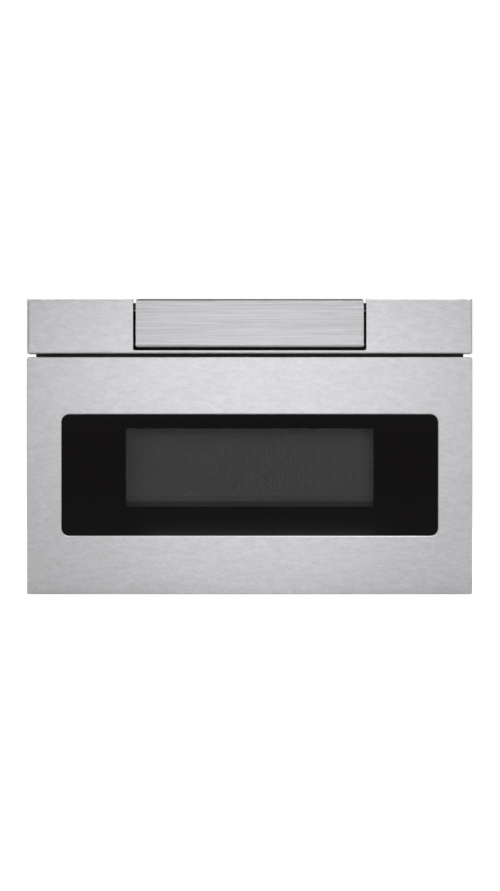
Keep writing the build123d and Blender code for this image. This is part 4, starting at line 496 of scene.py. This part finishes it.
# ---- Fascia and drawer front ------------------------------------------------------------------------
# Folded from brushed stainless sheet under a mirror roll: short horizontal grain with a mottled lustre,
# and clean folded edges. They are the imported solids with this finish.
def brushed(name, tone, grain_length, grain_height, contrast, mottle, roughness):
    """Brushed steel with its grain along X: fine streaks of a given length and height, and a soft mottle."""
    steel = Finish(name, Metallic=1.0)

    def patches(length, height, **kind):
        return steel.noise(steel.place((1 / length, 1 / length, 1 / height)), **kind)

    streak = patches(grain_length, grain_height, detail=3.0, roughness=0.6)
    hair = patches(0.015, 0.00035)
    cloud = patches(0.013, 0.005, detail=3.0, roughness=0.55)
    light = (streak - 0.5) * contrast + (cloud - 0.5) * mottle + (hair - 0.5) * 0.25 + 0.5
    dark_tone = tuple(c * 0.72 for c in tone)
    light_tone = tuple(min(1.0, c * 1.28) for c in tone)
    steel.shade(
        Base_Color=steel.mix(light, dark_tone, light_tone),
        Roughness=(streak - 0.5) * 0.12 + roughness,
        Normal=steel.bump(streak, 0.00002, 0.35),
    )
    return steel


brushed(
    "brushed_stainless",
    (0.695, 0.695, 0.712),
    grain_length=0.006,
    grain_height=0.0013,
    contrast=0.75,
    mottle=0.55,
    roughness=0.35,
).dress("fascia", "drawer_front")


# ---- Door glass -------------------------------------------------------------------------------------
# Tempered glass printed black on its back, with a clear window in the middle of the print, and a second
# clear pane inside.
window_half = 0.1687
window_low = 0.1192
window_high = 0.2261
window_cover = 0.38
door_glass = Finish("printed_black_glass", Base_Color=(0.0068, 0.0055, 0.006), Roughness=0.06)
beside = abs(door_glass.axis(0)) > window_half
below = door_glass.axis(2) < window_low
above = door_glass.axis(2) > window_high
printed = (beside + below + above) > 0.5
door_glass.shade(Alpha=printed * (1 - window_cover) + window_cover, Specular_IOR_Level=0.15)
door_glass.dress("door_glass")
Finish("clear_glass", Base_Color=(0.7, 0.75, 0.74), Roughness=0.03, Alpha=0.18).dress("inner_glass")


# ---- Perforated screen ------------------------------------------------------------------------------
# Thin dark-painted steel behind the glass, punched with staggered round holes up to a plain border; the band
# below the punched field is painted a little darker than the field, as painted shade under the field's edge.
field_low = 0.1346
field_high = window_high + 0.0012
screen_paint = Finish("dark_screen_paint", Roughness=0.5, Specular_IOR_Level=0.4)
speck = screen_paint.noise(screen_paint.place((900, 900, 900)))
# The paint below the punched field is darker: painted shade under the field's edge.
border_painted_shade_tone = screen_paint.mix(speck, (0.40, 0.40, 0.41), (0.46, 0.46, 0.47))
field_tone = screen_paint.mix(speck, (0.51, 0.51, 0.52), (0.59, 0.59, 0.60))
in_field = screen_paint.axis(2) > field_low
screen_paint.shade(Base_Color=screen_paint.mix(in_field, border_painted_shade_tone, field_tone))

screen_low, screen_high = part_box("door_screen")
hole_pitch = 0.00272
hole_radius = 0.00074
same_point = 0.00001
screen = Rule(
    "perforated_sheet", pitch=hole_pitch, hole=hole_radius, pairs=61, rows=30, width=0.3, height=0.1,
    first_row=0.0, sheet=0.0006,
)
pitch, pairs = screen.size("pitch"), screen.size("pairs")
hole = screen.node("GeometryNodeCurvePrimitiveCircle", {}, {"Resolution": 8, "Radius": screen.size("hole")})


def upright_strip(width, across):
    """The outline of a strip as high as the sheet."""
    sizes = {"Width": width, "Height": screen.size("height")}
    return screen.moved(screen.node("GeometryNodeCurvePrimitiveQuadrilateral", {}, sizes), x=across)


def filled(outlines):
    """The sheet inside some outlines, less the holes in it."""
    return screen.node("GeometryNodeFillCurve", {}, {"Curve": outlines})


def merged(shape):
    """The shape with its touching points made one."""
    return screen.node("GeometryNodeMergeByDistance", {}, {"Geometry": shape, "Distance": same_point})


def punched_strip(across, lift):
    """One column of the sheet with its holes, the first one lifted by a share of the pitch."""
    first_hole = screen.point(across, screen.size("first_row") + pitch * lift)
    column = screen.line(screen.size("rows"), first_hole, screen.point(y=pitch))
    holes = screen.realized(screen.repeated(hole, column))
    return filled(screen.join(holes, upright_strip(pitch, across)))


pair = screen.join(punched_strip(pitch * -0.5, 0.0), punched_strip(pitch * 0.5, 0.5))
pair_places = screen.line(pairs, screen.point((pairs - 1) * pitch * -1), screen.point(pitch * 2))
field = screen.repeated(pair, pair_places)
border_width = (screen.size("width") - pairs * pitch * 2) * 0.5
border_across = (screen.size("width") - border_width) * 0.5
right_border = upright_strip(border_width, border_across)
left_border = upright_strip(border_width, border_across * -1)
back_face = merged(screen.realized(screen.join(field, filled(screen.join(right_border, left_border)))))
front_face = screen.node(
    "GeometryNodeExtrudeMesh",
    {},
    {"Mesh": back_face, "Offset Scale": screen.size("sheet"), "Individual": False},
)
back_face = screen.node("GeometryNodeFlipFaces", {}, {"Mesh": back_face})
screen.end(merged(screen.join(front_face, back_face)), screen_paint.material)

screen_middle_z = (screen_low.z + screen_high.z) / 2
facing_front = Matrix.Translation((0, screen_high.y, screen_middle_z)) @ Matrix.Rotation(pi / 2, 4, "X")
door_screen = screen.piece(
    "punched_screen",
    "drawer",
    "screen_steel",
    facing_front,
    pairs=int(window_half / hole_pitch),
    rows=int((field_high - field_low) / hole_pitch),
    width=screen_high.x - screen_low.x,
    height=screen_high.z - screen_low.z,
    first_row=field_low + hole_pitch / 2 - screen_middle_z,
    sheet=screen_high.y - screen_low.y,
)
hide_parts("door_screen")


# ---- Control panel ----------------------------------------------------------------------------------
# A stainless skin rolled round the lower edge, with long grain across its whole width, under a black
# touch glass on the wedge's sloping top.
brushed(
    "long_grain_stainless",
    (0.58, 0.58, 0.595),
    grain_length=0.085,
    grain_height=0.0011,
    contrast=1.9,
    mottle=0.2,
    roughness=0.34,
).dress("control_face")
Finish("black_touch_glass", Base_Color=(0.008, 0.008, 0.009), Roughness=0.08).dress("control_glass")


# ---- Touch keys and clock ---------------------------------------------------------------------------
# Marks printed in white ink on the touch glass: digits, ON, OFF and plain signs in two rows each side of
# a clock, whose seven-bar digits glow through the glass.
glass_front = Vector((0, face_y, 0.4021))
glass_rear = Vector((0, -0.24909, 0.37545))
glass_across = Vector((1, 0, 0))
glass_up = (glass_rear - glass_front).normalized()
glass_out = glass_across.cross(glass_up)
turned_up = Matrix((glass_across, glass_up, glass_out)).transposed().to_4x4()
on_glass = Matrix.Translation(glass_front) @ turned_up
ink_thickness = 0.00008


def edge_at(mesh, outline, x, y, lift):
    """The points of an outline, at a place on the glass and a height over it."""
    return [mesh.verts.new((x + across, y + up, lift)) for across, up in outline]


def faces_between(mesh, edge, beside):
    """A band of faces from one edge to another with as many points."""
    for step in range(len(edge)):
        mesh.faces.new((edge[step - 1], edge[step], beside[step], beside[step - 1]))


def flat_shape(mesh, outline, x, y):
    """A thin printed plate with the given outline, at a place on the glass."""
    low = edge_at(mesh, outline, x, y, 0.0)
    high = edge_at(mesh, outline, x, y, ink_thickness)
    mesh.faces.new(low)
    mesh.faces.new(high)
    faces_between(mesh, low, high)


def round_outline(radius, corners, start=0.0):
    """The corners of a circle, or of a regular shape whose first corner is turned by start."""
    angles = [start + 2 * pi * step / corners for step in range(corners)]
    return [(radius * cos(angle), radius * sin(angle)) for angle in angles]


def bar_outline(width, height):
    """The corners of a level or upright bar."""
    right, top = width / 2, height / 2
    return [(-right, -top), (right, -top), (right, top), (-right, top)]


def plus_outline(reach, line):
    """The corners of a plus sign."""
    far, near = reach / 2, line / 2
    arm = [(near, -near), (far, -near), (far, near)]
    turns = [(cos(angle), sin(angle)) for angle in (0, pi / 2, pi, -pi / 2)]
    return [(x * c - y * s, x * s + y * c) for c, s in turns for x, y in arm]


def ring_shape(mesh, radius, line, x, y):
    """A thin printed ring, whose four edges are circles joined by faces."""
    inner, outer = round_outline(radius - line, 28), round_outline(radius, 28)
    section = ((inner, 0.0), (outer, 0.0), (outer, ink_thickness), (inner, ink_thickness))
    edges = [edge_at(mesh, outline, x, y, lift) for outline, lift in section]
    for edge, beside in zip(edges, edges[1:] + edges[:1]):
        faces_between(mesh, edge, beside)


def words(mesh, text, size, x, y):
    """Plain letters or digits, centred on a place on the glass."""
    letters = bpy.data.curves.new("letters", "FONT")
    letters.body = text
    letters.size = size
    letters.align_x = "CENTER"
    letters.align_y = "CENTER"
    letters.extrude = ink_thickness / 2
    holder = put("letters", letters)
    shape = bpy.data.meshes.new_from_object(holder.evaluated_get(bpy.context.evaluated_depsgraph_get()))
    bpy.data.objects.remove(holder)
    shape.transform(Matrix.Translation((x, y, ink_thickness / 2)))
    mesh.from_mesh(shape)


def printed_piece(name, mesh, finish):
    """Lays the printed marks on the glass and lets them ride on the control panel."""
    bmesh.ops.remove_doubles(mesh, verts=mesh.verts, dist=ink_thickness / 100)
    bmesh.ops.recalc_face_normals(mesh, faces=mesh.faces)
    shape = bpy.data.meshes.new(name)
    mesh.to_mesh(shape)
    shape.transform(on_glass)
    shape.materials.append(finish.material)
    made = put(name, shape)
    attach(made, "control_panel")


upper_row = 0.0330
lower_row = 0.0180
middle_row = (upper_row + lower_row) / 2
key_pitch = 0.0175
first_key = 0.0640
digit_size = 0.0075
word_size = 0.0048
fine_line = 0.0005
broad_line = 0.0007
sign_width = 0.0050
square_width = 0.0046
sign_radius = 0.0030
ink = satin("white_ink", (0.78, 0.78, 0.78), (0.86, 0.86, 0.86), 0.5, speck=900)
marks = bmesh.new()
for place, digit in enumerate("1234567890"):
    key_row = upper_row if place < 5 else lower_row
    words(marks, digit, digit_size, first_key + key_pitch * (place % 5), key_row)
left_keys = [-first_key - key_pitch * place for place in range(5)]
start_key, arrow_key, plus_key, timer_key, word_key = left_keys
words(marks, "ON", word_size, word_key, upper_row)
words(marks, "OFF", word_size, word_key, lower_row)

hand_half = fine_line / 2
hand_reach = 0.0014
long_hand_reach = 0.0021
hands = [
    (-hand_half, -hand_half), (hand_reach, -hand_half), (hand_reach, hand_half), (hand_half, hand_half),
    (hand_half, long_hand_reach), (-hand_half, long_hand_reach),
]
ring_shape(marks, sign_radius, fine_line, timer_key, upper_row)
flat_shape(marks, hands, timer_key, upper_row)

lamp_radius = 0.0018
ray_radius = 0.00035
ray_reach = 0.0029
ring_shape(marks, lamp_radius, fine_line, timer_key, lower_row)
for across, up in round_outline(ray_reach, 8):
    flat_shape(marks, round_outline(ray_radius, 6), timer_key + across, lower_row + up)

flat_shape(marks, plus_outline(sign_width, broad_line), plus_key, upper_row)
flat_shape(marks, bar_outline(sign_width, broad_line), plus_key, lower_row)
flat_shape(marks, round_outline(sign_radius, 3, pi / 2), arrow_key, upper_row)
flat_shape(marks, round_outline(sign_radius, 3, -pi / 2), arrow_key, lower_row)
flat_shape(marks, round_outline(sign_radius, 3), start_key, upper_row)
flat_shape(marks, bar_outline(square_width, square_width), start_key, lower_row)
divider_across = 0.0480
for side in (-1, 1):
    flat_shape(marks, bar_outline(0.0003, 0.0300), side * divider_across, middle_row)
printed_piece("key_marks", marks, ink)

digit_height = 0.0120
digit_width = 0.0066
digit_pitch = 0.0110
colon_room = 0.0016
colon_reach = 0.0025
bar_line = 0.0011
clock_middle = middle_row - 0.0035
bars_on = {"0": "abcdef", "1": "bc", "2": "abged", "3": "abgcd"}
bar_places = {
    "a": (0, 0.5, 1), "d": (0, -0.5, 1), "g": (0, 0, 1),
    "b": (0.5, 0.25, 0), "c": (0.5, -0.25, 0), "e": (-0.5, -0.25, 0), "f": (-0.5, 0.25, 0),
}


def clock_bar(mesh, x, y, length, level):
    """One pointed bar of a clock digit, level or upright."""
    half, line = length / 2 - bar_line * 0.55, bar_line / 2
    near = half - line
    outline = [(-half, 0), (-near, -line), (near, -line), (half, 0), (near, line), (-near, line)]
    flat_shape(mesh, outline if level else [(-up, across) for across, up in outline], x, y)


clock_glow = Finish("clock_glow", Base_Color=(0.3, 0.45, 0.5), Roughness=0.4)
flicker = clock_glow.noise(clock_glow.place((400, 400, 400)), detail=1.0)
clock_glow.shade(
    Emission_Color=clock_glow.mix(flicker, (0.35, 0.75, 0.9), (0.5, 0.9, 1.0)), Emission_Strength=0.9
)
clock = bmesh.new()
for place, digit in enumerate("1230"):
    centre = (place - 1.5) * digit_pitch + (colon_room if place > 1 else -colon_room)
    for bar in bars_on[digit]:
        across, up, level = bar_places[bar]
        length = digit_width if level else digit_height / 2
        clock_bar(clock, centre + across * digit_width, clock_middle + up * digit_height, length, level)
for up in (-colon_reach, colon_reach):
    flat_shape(clock, round_outline(0.0007, 10), 0.0, clock_middle + up)
printed_piece("clock_digits", clock, clock_glow)
